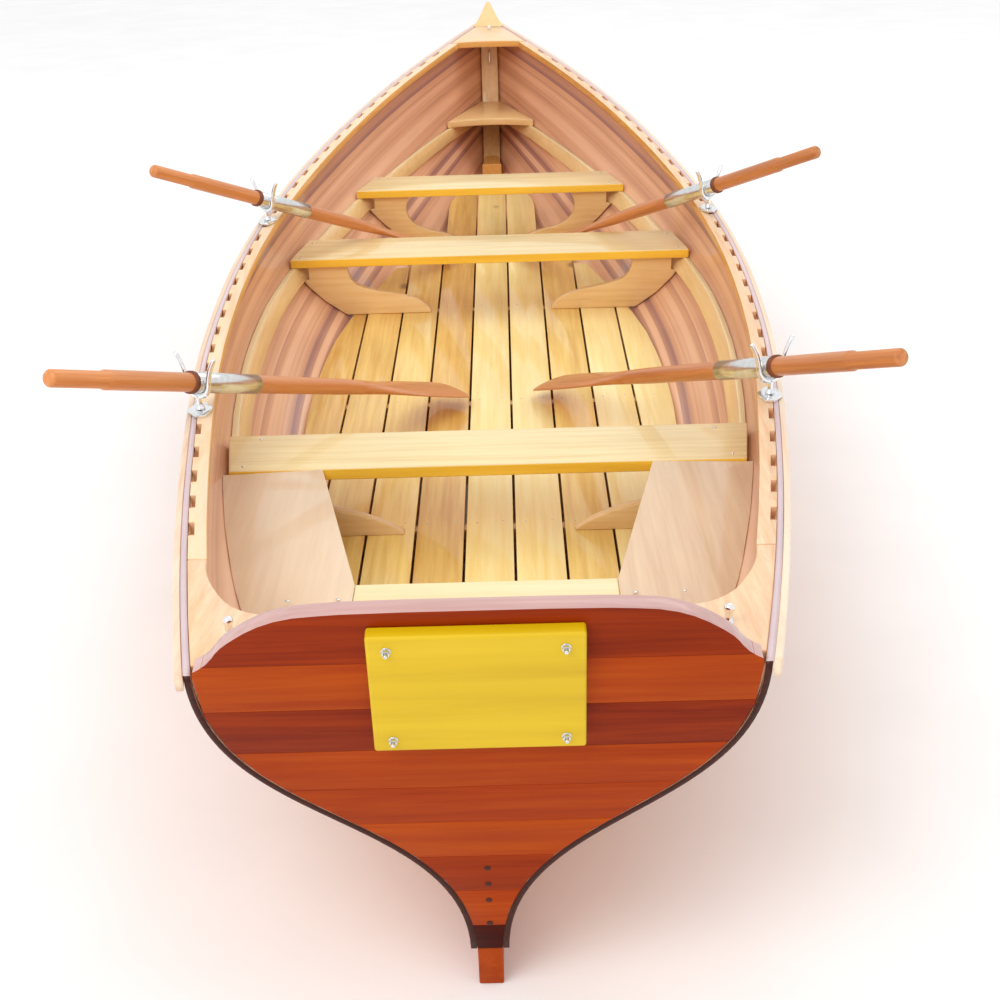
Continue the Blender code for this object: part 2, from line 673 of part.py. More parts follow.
def make_knee(name, side, where, hull):
    """A sawn knee that stands on the floor slats and braces the end of a thwart."""
    middle_y = KNEES[where]
    faces = (middle_y - KNEE_THICK / 2, middle_y + KNEE_THICK / 2)
    top = seat_low(middle_y) - 2 * GAP
    riser_low = top - RISER_TALL - 2 * GAP
    foot = FLOOR_TOP + GAP
    wall = [(min(inner_half(y, z, 0.001) for y in faces), z) for z in np.linspace(foot, riser_low, 6)]
    at_top = min(inner_half(y, riser_low, 0.001) for y in faces) - RISER_THICK - 0.004
    across, up = np.array(KNEE_EDGES[where]).T
    steps = np.linspace(0, 1, 19)
    inner = [(at_top, riser_low), (at_top, top), (float(across[0]), top)]
    inner += list(zip(smooth(across, steps)[1:], np.clip(smooth(up, steps)[1:], foot, top)))
    inner.append((float(across[-1]) + 0.003, foot))
    outline = [(side * x, z) for x, z in wall + inner]
    return upright_board(name, outline, middle_y, KNEE_THICK, (PALE_ASH, 0.3, 0.0), hull)


def make_slat(index, hull):
    """A floor slat, its outer edge trimmed where the planking closes in."""
    near = abs(index)
    low = FLOOR_TOP - SLAT_THICK
    straight = (near + 0.5) * SLAT_PITCH - SLAT_GAP / 2
    inside = (near - 0.5) * SLAT_PITCH + SLAT_GAP / 2 if near else -straight
    span = SLAT_Y if near <= 1 else OUTER_SLAT_Y
    edge = []
    for y in np.linspace(*span, 40):
        x = min(straight, inner_half(y, low, 0.003))
        if x > inside + 0.03:
            edge.append((x, y))
    kept = [p for i, p in enumerate(edge) if i in (0, len(edge) - 1) or not is_straight(edge[i - 1:i + 2])]
    if near == 0:
        outline = kept + [(-x, y) for x, y in reversed(kept)]
    else:
        outline = kept + [(inside, kept[-1][1]), (inside, kept[0][1])]
    side = -1 if index < 0 else 1
    name = f"floor_slat_{index + 5}"
    return level_board(name, [(side * x, y) for x, y in outline], low, SLAT_THICK, (SPRUCE, 0.35, 0.0), hull)


def is_straight(three):
    return abs(three[0][0] - three[1][0]) + abs(three[1][0] - three[2][0]) < 1e-6


def make_timber(name, middle_y, hull):
    """A cross timber under the slats, shaped to the planking and sitting over the keelson."""
    top = FLOOR_TOP - SLAT_THICK - GAP
    low = KEELSON_LOW + KEELSON_THICK + GAP
    edges = (middle_y - TIMBER_THICK / 2, middle_y + TIMBER_THICK / 2)
    reach = min(inner_half(y, top, 0.0006) for y in edges)
    halves = np.linspace(0.06, reach - 0.004, 7)
    rising = [(x, max(inner_floor(y, x, 0.0006) for y in edges)) for x in halves]
    half = [(KEELSON_HALF + 0.004, low)]
    half += [(x, z) for x, z in rising if z > low + 0.001]
    half += [(reach, top)]
    outline = both_sides(half)
    return upright_board(name, outline, middle_y, TIMBER_THICK, (CEDAR, 0.4, 0.0), hull)


def lock_place(station, side):
    """The middle of an oarlock, on its pin's axis and the oar's own axis."""
    y = LOCKS[station]
    return side * (float(rail_half(y)) - LOCK_INSET), y, float(rail_height(y)) + LOCK_RISE


def make_socket(name, station, side, hull):
    """The lozenge plate on the rail, bored for the lock's pin."""
    x, y, z = lock_place(station, side)
    wide, long, thick = PLATE
    outline = [(wide, 0.006), (0.010, long), (-0.010, long), (-wide, 0.006)]
    outline += [(-wide, -0.006), (-0.010, -long), (0.010, -long), (wide, -0.006)]
    vertices = [(a, b, h) for h in (0.0, thick) for a, b in outline]
    count = len(outline)
    faces = [tuple(range(count)), tuple(range(count, 2 * count))]
    faces += [(i, (i + 1) % count, count + (i + 1) % count, count + i) for i in range(count)]
    plate = add_object(name, mesh_from(name, vertices, faces), (CHROME, 0.2, 1.0), hull)
    plate.location = (x, y, float(rail_height(y)) + PLATE_LIFT)
    plate.rotation_euler.z = -side * math.atan2(float(rail_half(y + 0.01) - rail_half(y - 0.01)), 0.02)
    bpy.ops.mesh.primitive_cylinder_add(vertices=16, radius=PIN_RADIUS + PIN_PLAY, depth=4 * thick)
    bore = bpy.context.object
    bore.name = f"{name}_bore"
    bore.parent = plate
    hide_tool(bore)
    cut = plate.modifiers.new("pin hole", "BOOLEAN")
    cut.operation = "DIFFERENCE"
    cut.solver = "EXACT"
    cut.object = bore
    return plate


def make_lock(name, station, side, hull):
    """A horned lock: a wire bent round the oar, on an upright pin that turns in its plate."""
    angles = np.radians(np.linspace(180, 360, 13))
    bow = [(HORN_BEND * math.cos(a), HORN_BEND * math.sin(a)) for a in angles]
    horn = [(-0.054, 0.060), (-0.044, 0.044), (-0.0365, 0.022)]
    path = horn + bow + [(-a, b) for a, b in reversed(horn)]
    curve = bpy.data.curves.new(name, "CURVE")
    curve.dimensions = "3D"
    curve.bevel_depth = HORN_WIRE
    curve.bevel_resolution = 2
    curve.use_fill_caps = True
    spline = curve.splines.new("POLY")
    spline.points.add(len(path) - 1)
    for point, (y, z) in zip(spline.points, path):
        point.co = (0, y, z, 1)
    wire = bpy.data.objects.new(name, curve)
    bpy.context.scene.collection.objects.link(wire)
    lock = curve_to_mesh(wire)
    settle(lock, (CHROME, 0.12, 1.0), hull)
    lock.location = lock_place(station, side)
    angle = SWING[(station, side)]
    lock.rotation_euler.z = math.radians(angle if side < 0 else 180 - angle)
    top = -HORN_BEND
    low = -LOCK_RISE + PLATE_LIFT + GAP
    bpy.ops.mesh.primitive_cylinder_add(vertices=12, radius=PIN_RADIUS, depth=top - low)
    pin = bpy.context.object
    pin.name = f"{name}_pin"
    pin.data.transform(Matrix.Translation((0, 0, (top + low) / 2)))
    pin.parent = lock
    hide_tool(pin)
    join = lock.modifiers.new("pin", "BOOLEAN")
    join.operation = "UNION"
    join.solver = "EXACT"
    join.object = pin
    return lock


def curve_to_mesh(piece):
    """The curve's own mesh, with its caps welded on."""
    bpy.context.view_layer.update()
    graph = bpy.context.evaluated_depsgraph_get()
    mesh = bpy.data.meshes.new_from_object(piece.evaluated_get(graph))
    work = bmesh.new()
    work.from_mesh(mesh)
    bmesh.ops.remove_doubles(work, verts=work.verts, dist=0.00001)
    bmesh.ops.recalc_face_normals(work, faces=work.faces)
    work.to_mesh(mesh)
    work.free()
    name = piece.name
    place = piece.matrix_world.copy()
    bpy.data.objects.remove(piece, do_unlink=True)
    made = bpy.data.objects.new(name, mesh)
    made.matrix_world = place
    bpy.context.scene.collection.objects.link(made)
    return made


def make_oar(name, station, side, lock):
    """A turned loom that flattens into a blade, along its own X from the grip to the tip."""
    tip = OAR_LENGTH[station]
    blade = tip - BLADE_LENGTH
    stations = (
        (0.0, GRIP * 0.80, GRIP * 0.80),
        (0.006, GRIP, GRIP),
        (GRIP_LENGTH, GRIP, GRIP),
        (GRIP_LENGTH + 0.003, LOOM, LOOM),
        (SLEEVE_START, LOOM, LOOM),
        (SLEEVE_START + 0.0005, SLEEVE, SLEEVE),
        (SLEEVE_END, SLEEVE, SLEEVE),
        (SLEEVE_END + 0.0005, LOOM, LOOM),
        (blade - 0.11, LOOM * 0.95, LOOM * 0.95),
        (blade, 0.022, 0.017),
        (blade + 0.11, 0.040, 0.010),
        (blade + 0.22, 0.053, 0.007),
        (tip - 0.105, BLADE_HALF, BLADE_THIN),
        (tip - 0.020, BLADE_HALF * 0.97, BLADE_THIN),
        (tip, BLADE_HALF * 0.72, BLADE_THIN * 0.8),
    )
    around = np.radians(np.arange(12) * 30.0 + 15.0)
    rings = [[(s - OUTBOARD[station], a * math.cos(q), b * math.sin(q)) for q in around] for s, a, b in stations]
    oar = loft(name, rings, (ORANGE, 0.3, 0.0), lock)
    oar.rotation_euler = (math.radians(-side * ROLL), math.radians(DIP[station]), 0)
    return oar


def make_boat():
    hull = bpy.data.objects.new("hull_frame", None)
    PARTS.objects.link(hull)
    hull.location = (0, -MIDSHIP_Y, -DRAFT)
    for side, word in ((-1, "port"), (1, "starboard")):
        make_planking(side, f"planking_{word}", hull)
        make_outwale(f"outwale_{word}", side, hull)
        make_inwale(f"inwale_{word}", side, hull)
        make_riser(f"riser_{word}", side, hull)
        make_side_seat(f"side_seat_{word}", side, hull)
        make_quarter_knee(f"quarter_knee_{word}", side, hull)
        make_post(f"post_{word}", side, hull)
        for where in KNEES:
            make_knee(f"knee_{where}_{word}", side, where, hull)
        for station in LOCKS:
            make_socket(f"socket_{station}_{word}", station, side, hull)
            lock = make_lock(f"oarlock_{station}_{word}", station, side, hull)
            make_oar(f"oar_{station}_{word}", station, side, lock)
    make_keel(hull)
    make_stem(hull)
    make_stem_head(hull)
    make_keelson(hull)
    make_apron(hull)
    make_transom(hull)
    make_motor_pad(hull)
    make_breasthook(hull)
    make_thwart("stern_thwart", STERN_THWART, hull)
    make_thwart("mid_thwart", MID_THWART, hull)
    make_thwart("fore_thwart", FORE_THWART, hull)
    make_bow_seat(hull)
    make_aft_seat(hull)
    for index in range(-4, 5):
        make_slat(index, hull)
    for where, y in TIMBERS.items():
        make_timber(f"floor_timber_{where}", y, hull)


clear_scene()
PARTS = bpy.data.collections.new("whitehall rowboat")
TOOLS = bpy.data.collections.new("cutters and joiners")
OUTER_FACE, INNER_FACE = planking_faces()
bpy.context.scene.collection.children.link(PARTS)
bpy.context.scene.collection.children.link(TOOLS)
make_boat()
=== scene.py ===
# %% [markdown]
# # A varnished whitehall rowboat
# The boat stands on a pale studio floor, seen from behind and above its stern.
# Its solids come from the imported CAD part. This lesson dresses them: each visible piece gets finer
# surfaces, real wood and real metal. Everything is measured in metres, +Y to the bow and +Z up.

import math

import bmesh
import bpy
import numpy as np
from mathutils import Matrix, Vector


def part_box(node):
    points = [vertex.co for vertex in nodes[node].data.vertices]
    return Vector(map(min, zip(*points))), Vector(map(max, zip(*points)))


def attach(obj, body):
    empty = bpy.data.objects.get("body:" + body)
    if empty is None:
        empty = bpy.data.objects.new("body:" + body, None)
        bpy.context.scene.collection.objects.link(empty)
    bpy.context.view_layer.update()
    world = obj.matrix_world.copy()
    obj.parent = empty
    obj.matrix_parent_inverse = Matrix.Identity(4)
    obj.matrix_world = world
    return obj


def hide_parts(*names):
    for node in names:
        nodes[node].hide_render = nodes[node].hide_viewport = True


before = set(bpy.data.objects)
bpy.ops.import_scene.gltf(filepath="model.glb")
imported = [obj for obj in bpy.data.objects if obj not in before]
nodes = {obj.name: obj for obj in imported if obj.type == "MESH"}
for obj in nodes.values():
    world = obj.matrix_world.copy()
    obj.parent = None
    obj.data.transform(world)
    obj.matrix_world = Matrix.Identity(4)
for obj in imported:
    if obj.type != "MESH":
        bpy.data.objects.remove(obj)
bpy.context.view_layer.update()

# %% [markdown]
# ## The frame the hull was drawn in
# Builders draw a hull from its after end and from the underside of its keel. The same frame is kept
# here, and `place` moves a point from it to the world, where the origin is at the waterline amidships.

# %% The hull's own frame
MIDSHIP, DRAFT = 2.57, 0.15
GAP = 0.0003


def place(points):
    """Points in the hull's frame, moved to the world."""
    return np.asarray(points, float) - np.array([0.0, MIDSHIP, DRAFT])


FLOOR_LEVEL = -DRAFT
print("studio floor at", FLOOR_LEVEL)

# %% [markdown]
# ## Camera
# The photo was taken from head height, just behind the stern, looking down along the boat.
# Its place, turn and focal length were solved from the rail's outline, the transom and the thwarts.

# %% Camera
YAW, PITCH, ROLL = math.radians(0.59), math.radians(25.95), math.radians(-1.79)
EYE = (0.057, -4.371, 1.638)
SENSOR_WIDE, FOCAL_LENGTH = 36.0, 55.04
camera_data = bpy.data.cameras.new("camera")
camera_data.sensor_width = SENSOR_WIDE
camera_data.lens = FOCAL_LENGTH
camera = bpy.data.objects.new("camera", camera_data)
bpy.context.scene.collection.objects.link(camera)
turn = Matrix.Rotation(YAW, 4, "Z") @ Matrix.Rotation(math.pi / 2 - PITCH, 4, "X")
camera.matrix_world = Matrix.Translation(EYE) @ (turn @ Matrix.Rotation(ROLL, 4, "Z"))
bpy.context.scene.camera = camera
print("camera at", [round(v, 3) for v in camera.location])

# %% [markdown]
# ## Node helpers
# One function turns a hex colour as a screen shows it into linear light. Another adds any shader node
# with its settings and its links, so a material reads as a short list of steps.


# %% Node helpers
def colour(hexed):
    """An sRGB hex colour as linear RGBA."""
    parts = np.array([int(hexed[i : i + 2], 16) for i in (1, 3, 5)]) / 255
    linear = np.where(parts <= 0.04045, parts / 12.92, ((parts + 0.055) / 1.055) ** 2.4)
    return (*linear.tolist(), 1.0)


def put(socket, value):
    """Sets a socket to a value, or links it to another node's output."""
    if isinstance(value, bpy.types.NodeSocket):
        value.id_data.links.new(value, socket)
    else:
        socket.default_value = value


def node(tree, kind, settings=None, **sockets):
    """Adds a shader node. Sockets go by name, or by number as _0, and take a value or an output."""
    made = tree.nodes.new(f"ShaderNode{kind}")
    for name, value in (settings or {}).items():
        setattr(made, name, value)
    for name, value in sockets.items():
        key = int(name[1:]) if name.startswith("_") else name.replace("_", " ")
        put(made.inputs[key], value)
    return made


def new_material(name):
    """An empty material with its principled shader linked to the output."""
    material = bpy.data.materials.new(name)
    material.use_nodes = True
    tree = material.node_tree
    return material, tree, tree.nodes["Principled BSDF"]


def feed(shader, **sockets):
    """Sets or links inputs of the principled shader, by names with underscores for spaces."""
    for name, value in sockets.items():
        put(shader.inputs[name.replace("_", " ")], value)


def ramp(tree, factor, stops):
    """A colour ramp from (place, hex colour) stops."""
    made = node(tree, "ValToRGB", Fac=factor)
    elements = made.color_ramp.elements
    while len(elements) < len(stops):
        elements.new(0.5)
    for element, (at, hexed) in zip(elements, stops):
        element.position = at
        element.color = colour(hexed)
    return made.outputs["Color"]


print("orange in linear light:", [round(v, 3) for v in colour("#B04800")])

# %% [markdown]
# ## Varnished wood
# Every board carries two attributes. "grain" is the point in the board's own directions, in metres:
# along the grain, across it, and through the board. "tone" is a number from 0 to 1 that belongs to the
# board, as each was sawn from another tree. Long, thin noise gives the year rings cut along the log,
# a finer one gives the fibres, and a slow one gives the drift in colour. Varnish is a clear coat.


# %% Wood materials
WAVER, FIGURE, FIBRE = 0.55, 0.9, 0.18  # what each noise adds to the place on the colour ramp
FIGURE_MEAN = 0.54  # half of the last two, taken off so that a board of middle tone stays in the middle
TONE_STEP = (7.3, 3.1, 5.7)  # how far apart, in metres, two boards are cut from the same noise
KNOT_COLOUR = "#7A4A20"


def make_wood(name, tones, ring, stretch, contrast, tone_shift, knots=0.0, coat=0.5, shine=0.4):
    """Varnished wood in three tones. A year ring is ring metres wide, and stretch times longer."""
    material, tree, shader = new_material(name)
    grain = node(tree, "Attribute", {"attribute_name": "grain"}).outputs["Vector"]
    tone = node(tree, "Attribute", {"attribute_name": "tone"}).outputs["Fac"]
    apart = node(tree, "CombineXYZ", X=tone, Y=tone, Z=tone).outputs[0]
    scaled_add = {"operation": "MULTIPLY_ADD"}
    place_in_log = node(tree, "VectorMath", scaled_add, _0=apart, _1=TONE_STEP, _2=grain).outputs[0]
    drawn = node(tree, "Mapping", Vector=place_in_log, Scale=(1 / stretch, 1.0, 1.0)).outputs[0]
    waver = node(tree, "TexNoise", Vector=drawn, Scale=0.55 / ring, Detail=2.0, Roughness=0.5)
    figure = node(tree, "TexNoise", Vector=drawn, Scale=1 / ring, Detail=5.0, Roughness=0.62, Distortion=0.7)
    fibre_space = node(tree, "Mapping", Vector=place_in_log, Scale=(1 / 40, 1.0, 1.0)).outputs[0]
    fibre = node(tree, "TexNoise", Vector=fibre_space, Scale=900.0, Detail=3.0, Roughness=0.6).outputs["Fac"]
    drift = node(tree, "TexNoise", Vector=place_in_log, Scale=2.2, Detail=2.0).outputs["Fac"]
    blend = -WAVER / 2
    for noise, share in ((waver.outputs["Fac"], WAVER), (figure.outputs["Fac"], FIGURE * contrast),
                         (fibre, FIBRE * contrast), (tone, tone_shift)):
        blend = node(tree, "Math", scaled_add, _0=noise, _1=share, _2=blend).outputs[0]
    shift = 0.5 - FIGURE_MEAN * contrast - 0.5 * tone_shift
    blend = node(tree, "Math", {"operation": "ADD", "use_clamp": True}, _0=blend, _1=shift).outputs[0]
    base = ramp(tree, blend, tuple(zip((0.08, 0.5, 0.95), tones)))
    warm = node(tree, "MapRange", Value=drift, From_Min=0.3, From_Max=0.7, To_Min=0.93, To_Max=1.07)
    base = node(tree, "HueSaturation", Color=base, Value=warm.outputs[0]).outputs[0]
    if knots:
        spots = node(tree, "Mapping", Vector=place_in_log, Scale=(0.55, 1.0, 1.0)).outputs[0]
        cells = node(tree, "TexVoronoi", Vector=spots, Scale=knots, Randomness=1.0).outputs["Distance"]
        core = node(tree, "MapRange", Value=cells, From_Min=0.035, From_Max=0.075, To_Min=0.75, To_Max=0.0)
        deep = node(tree, "RGB")
        deep.outputs[0].default_value = colour(KNOT_COLOUR)
        mixed = node(tree, "Mix", {"data_type": "RGBA"}, Factor=core.outputs[0], _6=base, _7=deep.outputs[0])
        base = mixed.outputs[2]
    rough = node(tree, "MapRange", Value=fibre, To_Min=0.34, To_Max=0.5).outputs[0]
    height = node(tree, "Math", scaled_add, _0=fibre, _1=0.35, _2=blend).outputs[0]
    bump = node(tree, "Bump", Height=height, Strength=0.12, Distance=0.0006).outputs[0]
    feed(shader, Base_Color=base, Roughness=rough, Normal=bump, IOR=1.5)
    feed(shader, Coat_Weight=coat, Coat_Roughness=0.07, Coat_IOR=1.5, Specular_IOR_Level=shine)
    return material


# Heartwood strips under clear varnish: a pinkish skin whose long figure changes from strip to strip.
CEDAR = make_wood(
    "western red cedar strips, varnished", ("#F0BE9A", "#DCA480", "#A67670"), 0.011, 30, 0.45, 1.15)
# The same strips outside, darkened by sun and more coats: a warm orange hull.
CEDAR_OUTSIDE = make_wood(
    "western red cedar, outside of the hull", ("#E0944E", "#D0803C", "#A45A28"), 0.011, 30, 0.5, 1.0)
# Quarter-sawn spruce, nearly without figure: pale straight lines on the thwarts.
SPRUCE = make_wood("sitka spruce, varnished", ("#FAE8B8", "#F0DAA2", "#DAB470"), 0.010, 26, 0.6, 0.35)
# Painted light on the thwarts' faces that look aft, which the lamps leave in shade: a strong yellow band.
LIT_THWART_EDGE = make_wood(
    "spruce thwart edge, painted light", ("#FFDE62", "#FFCF42", "#E6A822"), 0.012, 26, 0.5, 0.3)
# Ash under an amber coat: a honey brown on the block at the stem's foot, and painted shade on the
# breasthook's after face and the inwales' inboard faces.
AMBER_ASH_AND_SHADE = make_wood("white ash, amber varnish and painted shade", ("#F6C478", "#EBAE5C", "#C98436"), 0.009, 24, 0.55, 0.35)
# Ash with open rings under clear varnish: the knees, timbers and bow seat, light tan. It is also painted
# shade on the risers' inboard faces.
ASH = make_wood("white ash, varnished", ("#F6D6A0", "#ECC486", "#CB9A5C"), 0.009, 20, 0.55, 0.35)
# Ash bent cold along the sheer, its rings drawn out: the pale pink-tan inner rail and knees.
RAIL_ASH = make_wood("ash rail, varnished", ("#FBDDB4", "#F3CDA2", "#E0A36C"), 0.009, 30, 0.6, 0.4)
# A spruce batten rubbed by docks and hands: the palest line round the boat.
OUTER_RAIL = make_wood(
    "pale spruce outwale, varnished", ("#F8E0C4", "#F0D2B4", "#D8AC88"), 0.010, 30, 0.5, 0.3)
# Painted light from above on the planks' upper edge: a greyish pink line between the rails.
LIT_SHEER_EDGE = make_wood(
    "cedar planking's upper edge, painted light", ("#E2CDCE", "#D6BEC2", "#B89CA4"), 0.010, 30, 0.5, 0.3)
# Flat-sawn pine with wide rings and small knots: lively yellow floorboards.
PINE = make_wood(
    "clear pine floorboards, varnished", ("#FFEAA8", "#F6D27C", "#D8A24C"), 0.013, 22, 0.7, 0.6, knots=3.2)
# Wide boards of yellow cedar, fine and even: the soft beige side seats.
SEAT_WOOD = make_wood("yellow cedar seat, varnished", ("#F3DBBC", "#E7CBA8", "#CEA883"), 0.012, 18, 0.45, 0.3)
# Planks stained red before a thin satin coat: a deep orange red with little shine.
STERN_WOOD = make_wood(
    "stained cedar planks, varnished", ("#B84E02", "#A03600", "#781E00"), 0.012, 26, 0.75, 0.9,
    coat=0.06, shine=0.1)
# Mahogany under the same stain: the keel and stem, a shade browner than the transom.
KEEL_WOOD = make_wood(
    "stained mahogany, varnished", ("#B44A04", "#A03A00", "#6C2000"), 0.012, 24, 0.8, 0.3,
    coat=0.06, shine=0.1)
# Painted shade on the lowest plank, where the keel meets the stern: the nearly black foot of the stern.
SHADED_STERN_FOOT = make_wood(
    "stern foot, painted shade", ("#5C1602", "#3E0A00", "#240400"), 0.012, 26, 0.75, 0.5, coat=0.05, shine=0.08)
# Painted light from above on the transom's crown: a dusty pink edge seen from above.
LIT_TOP_EDGE = make_wood(
    "stained cedar top edge, painted light", ("#D8B4AC", "#CDA49E", "#B0807A"), 0.010, 26, 0.5, 0.3)
# Spruce stained orange and kept glossy by handling: the looms and blades.
OAR_WOOD = make_wood(
    "stained spruce oar, varnished", ("#E49A5A", "#D08244", "#A45820"), 0.008, 30, 0.8, 0.3, coat=0.4)
# Birch plywood under yellow stain, its face veneer plain: the bright pad on the stern.
PAD_WOOD = make_wood(
    "yellow stained plywood", ("#E8C61C", "#DAB400", "#C49A00"), 0.014, 20, 0.4, 0.2, coat=0.25, shine=0.3)
# End grain that drank its sealer: the dark outline of the stern and the plugs over its bolts.
EDGE_WOOD = make_wood(
    "dark sealed end grain", ("#5A1C06", "#3A1002", "#200800"), 0.004, 2, 0.6, 0.2, coat=0.15, shine=0.2)
print("woods made:", len([m for m in bpy.data.materials if "Principled BSDF" in m.node_tree.nodes]))

# %% [markdown]
# ## Polished metal
# The oarlocks, plates, sleeves and nuts are chromed or stainless steel. Very fine noise in the
# roughness stands for handling marks, and a bump too small to see as a shape breaks up the mirror.


# %% Metal materials
def make_metal(name, tint, rough_low, rough_high):
    """A bright metal with handling marks a few millimetres across."""
    material, tree, shader = new_material(name)
    here = node(tree, "TexCoord").outputs["Object"]
    marks = node(tree, "TexNoise", Vector=here, Scale=420.0, Detail=4.0, Roughness=0.6).outputs["Fac"]
    broad = node(tree, "TexNoise", Vector=here, Scale=60.0, Detail=2.0).outputs["Fac"]
    rough = node(tree, "MapRange", Value=marks, To_Min=rough_low, To_Max=rough_high).outputs[0]
    base = ramp(tree, broad, ((0.3, tint[0]), (0.7, tint[1])))
    bump = node(tree, "Bump", Height=marks, Strength=0.25, Distance=0.00005).outputs[0]
    feed(shader, Base_Color=base, Metallic=1.0, Roughness=rough, Normal=bump)
    return material


# Cast bronze, polished and plated: a nearly clean mirror on the locks, plates and posts.
CHROME = make_metal("chromed bronze", ("#E6E9EC", "#F2F3F4"), 0.05, 0.14)
# Drawn steel with a satin face: softer, greyer gleams on the nuts, screws and oar sleeves.
STEEL = make_metal("brushed stainless steel", ("#D4D6D6", "#E2E3E2"), 0.16, 0.30)
print("metals made")

# %% [markdown]
# ## Leather
# A narrow strap of dark leather round each oar is the button that stops it at the lock. Its hide has
# pores about a millimetre apart, and it is darker in their hollows.


# %% Leather
def make_leather(name, light, dark):
    """Tanned hide, rubbed smooth on top and rough in its pores."""
    material, tree, shader = new_material(name)
    here = node(tree, "TexCoord").outputs["Object"]
    pores = node(tree, "TexVoronoi", Vector=here, Scale=900.0).outputs["Distance"]
    patches = node(tree, "TexNoise", Vector=here, Scale=70.0, Detail=4.0).outputs["Fac"]
    base = ramp(tree, patches, ((0.3, dark), (0.7, light)))
    rough = node(tree, "MapRange", Value=pores, To_Min=0.7, To_Max=0.45).outputs[0]
    bump = node(tree, "Bump", Height=pores, Strength=0.4, Distance=0.0003).outputs[0]
    feed(shader, Base_Color=base, Roughness=rough, Normal=bump, IOR=1.5)
    return material


# Vegetable-tanned hide, tacked on wet: a matt dark brown band beside each bright sleeve.
LEATHER = make_leather("tanned leather", "#8A4A28", "#5A2A14")
print("leather made")

# %% [markdown]
# ## Mesh helpers
# Rings of points, worked out for whole arrays at once, become a skin of quads with its ends closed.
# `joined` copies a solid of the part, `ease` rounds its edges, and `recolour` gives some faces another
# wood as painted light and shade. `finish` gives a piece its wood, its grain and its body, and hides
# the solid it stands for.


# %% Mesh helpers
def shade(mesh, smooth=True):
    """Shades every face smooth or flat."""
    mesh.polygons.foreach_set("use_smooth", np.full(len(mesh.polygons), smooth))


def mesh_of(name, vertices, faces, smooth=True):
    """A mesh object from arrays of vertices and of quads or triangles, its faces turned outward."""
    mesh = bpy.data.meshes.new(name)
    mesh.from_pydata(np.asarray(vertices, float).tolist(), [], [tuple(f) for f in faces])
    work = bmesh.new()
    work.from_mesh(mesh)
    bmesh.ops.recalc_face_normals(work, faces=work.faces)
    work.to_mesh(mesh)
    work.free()
    shade(mesh, smooth)
    piece = bpy.data.objects.new(name, mesh)
    bpy.context.scene.collection.objects.link(piece)
    return piece


def ring_faces(count, around):
    """Quads of a tube: count rings with around points each, its two ends closed by one face each."""
    i, j = np.meshgrid(np.arange(count - 1), np.arange(around), indexing="ij")
    k = (j + 1) % around
    quads = np.stack([i * around + j, i * around + k, (i + 1) * around + k, (i + 1) * around + j], -1)
    caps = [range(around), range((count - 1) * around, count * around)]
    return [*quads.reshape(-1, 4).tolist(), *map(list, caps)]


def swept(name, rings):
    """A closed tube through rings of points."""
    return mesh_of(name, rings.reshape(-1, 3), ring_faces(*rings.shape[:2]))


def set_attribute(piece, name, values, kind):
    """Writes a number or a vector for each vertex, which the materials read by name."""
    values = np.asarray(values, np.float32)
    attribute = piece.data.attributes.new(name, kind, "POINT")
    attribute.data.foreach_set("vector" if kind == "FLOAT_VECTOR" else "value", values.ravel())


def points_of(piece):
    """The piece's vertices as an array."""
    flat = np.empty(len(piece.data.vertices) * 3, np.float32)
    piece.data.vertices.foreach_get("co", flat)
    return flat.reshape(-1, 3).astype(float)


chance = np.random.default_rng(7)  # gives each board its tone
GRAIN_ORDER = {"x": (0, 1, 2), "y": (1, 0, 2), "z": (2, 0, 1)}


def finish(piece, material, body="hull", stands_for=(), grain=None, tone=None):
    """Gives a piece its finish, its grain directions and its body. grain is an axis letter or an array."""
    piece.data.materials.clear()
    piece.data.materials.append(material)
    points = points_of(piece)
    if isinstance(grain, str):
        grain = points[:, GRAIN_ORDER[grain]]
    if grain is not None:
        set_attribute(piece, "grain", grain, "FLOAT_VECTOR")
        tone = chance.random() if tone is None else tone
        set_attribute(piece, "tone", np.broadcast_to(tone, len(points)), "FLOAT")
    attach(piece, body)
    if stands_for:
        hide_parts(*stands_for)
    return piece


SAME_POINT, FLAT_ANGLE = 0.00002, math.radians(0.6)


def joined(node_name, name):
    """A copy of a solid with its loose triangles joined and its flat faces made whole."""
    mesh = nodes[node_name].data.copy()
    mesh.name = name
    work = bmesh.new()
    work.from_mesh(mesh)
    bmesh.ops.remove_doubles(work, verts=work.verts, dist=SAME_POINT)
    bmesh.ops.dissolve_limit(work, angle_limit=FLAT_ANGLE, verts=work.verts, edges=work.edges)
    work.to_mesh(mesh)
    work.free()
    shade(mesh)
    piece = bpy.data.objects.new(name, mesh)
    bpy.context.scene.collection.objects.link(piece)
    return piece


SHARP_EDGE = math.radians(28)


def ease(piece, radius, segments=3):
    """Rounds the edges of a piece that turn by more than a sharp edge's least angle."""
    bevel = piece.modifiers.new("eased edges", "BEVEL")
    bevel.width = radius
    bevel.segments = segments
    bevel.limit_method = "ANGLE"
    bevel.angle_limit = SHARP_EDGE
    bevel.harden_normals = True
    return piece


def recolour(piece, direction, limit, material, most=1.1):
    """Gives another wood to the faces whose angle to a direction has a cosine from limit to most, to paint
    light and shade by the way a face looks.
    """
    normals = np.empty(len(piece.data.polygons) * 3, np.float32)
    piece.data.polygons.foreach_get("normal", normals)
    index = np.empty(len(piece.data.polygons), np.int32)
    piece.data.polygons.foreach_get("material_index", index)
    piece.data.materials.append(material)
    cosine = normals.reshape(-1, 3) @ np.array(direction, float)
    index[(cosine > limit) & (cosine < most)] = len(piece.data.materials) - 1
    piece.data.polygons.foreach_set("material_index", index)


print("helpers ready")

# %% [markdown]
# ## The hull's lines
# Seven measured half-breadths and heights give the rail, through a smooth curve. A section is a cubic
# Bezier from the rabbet at the keel up to the sheer, and its four control points slide along the boat.


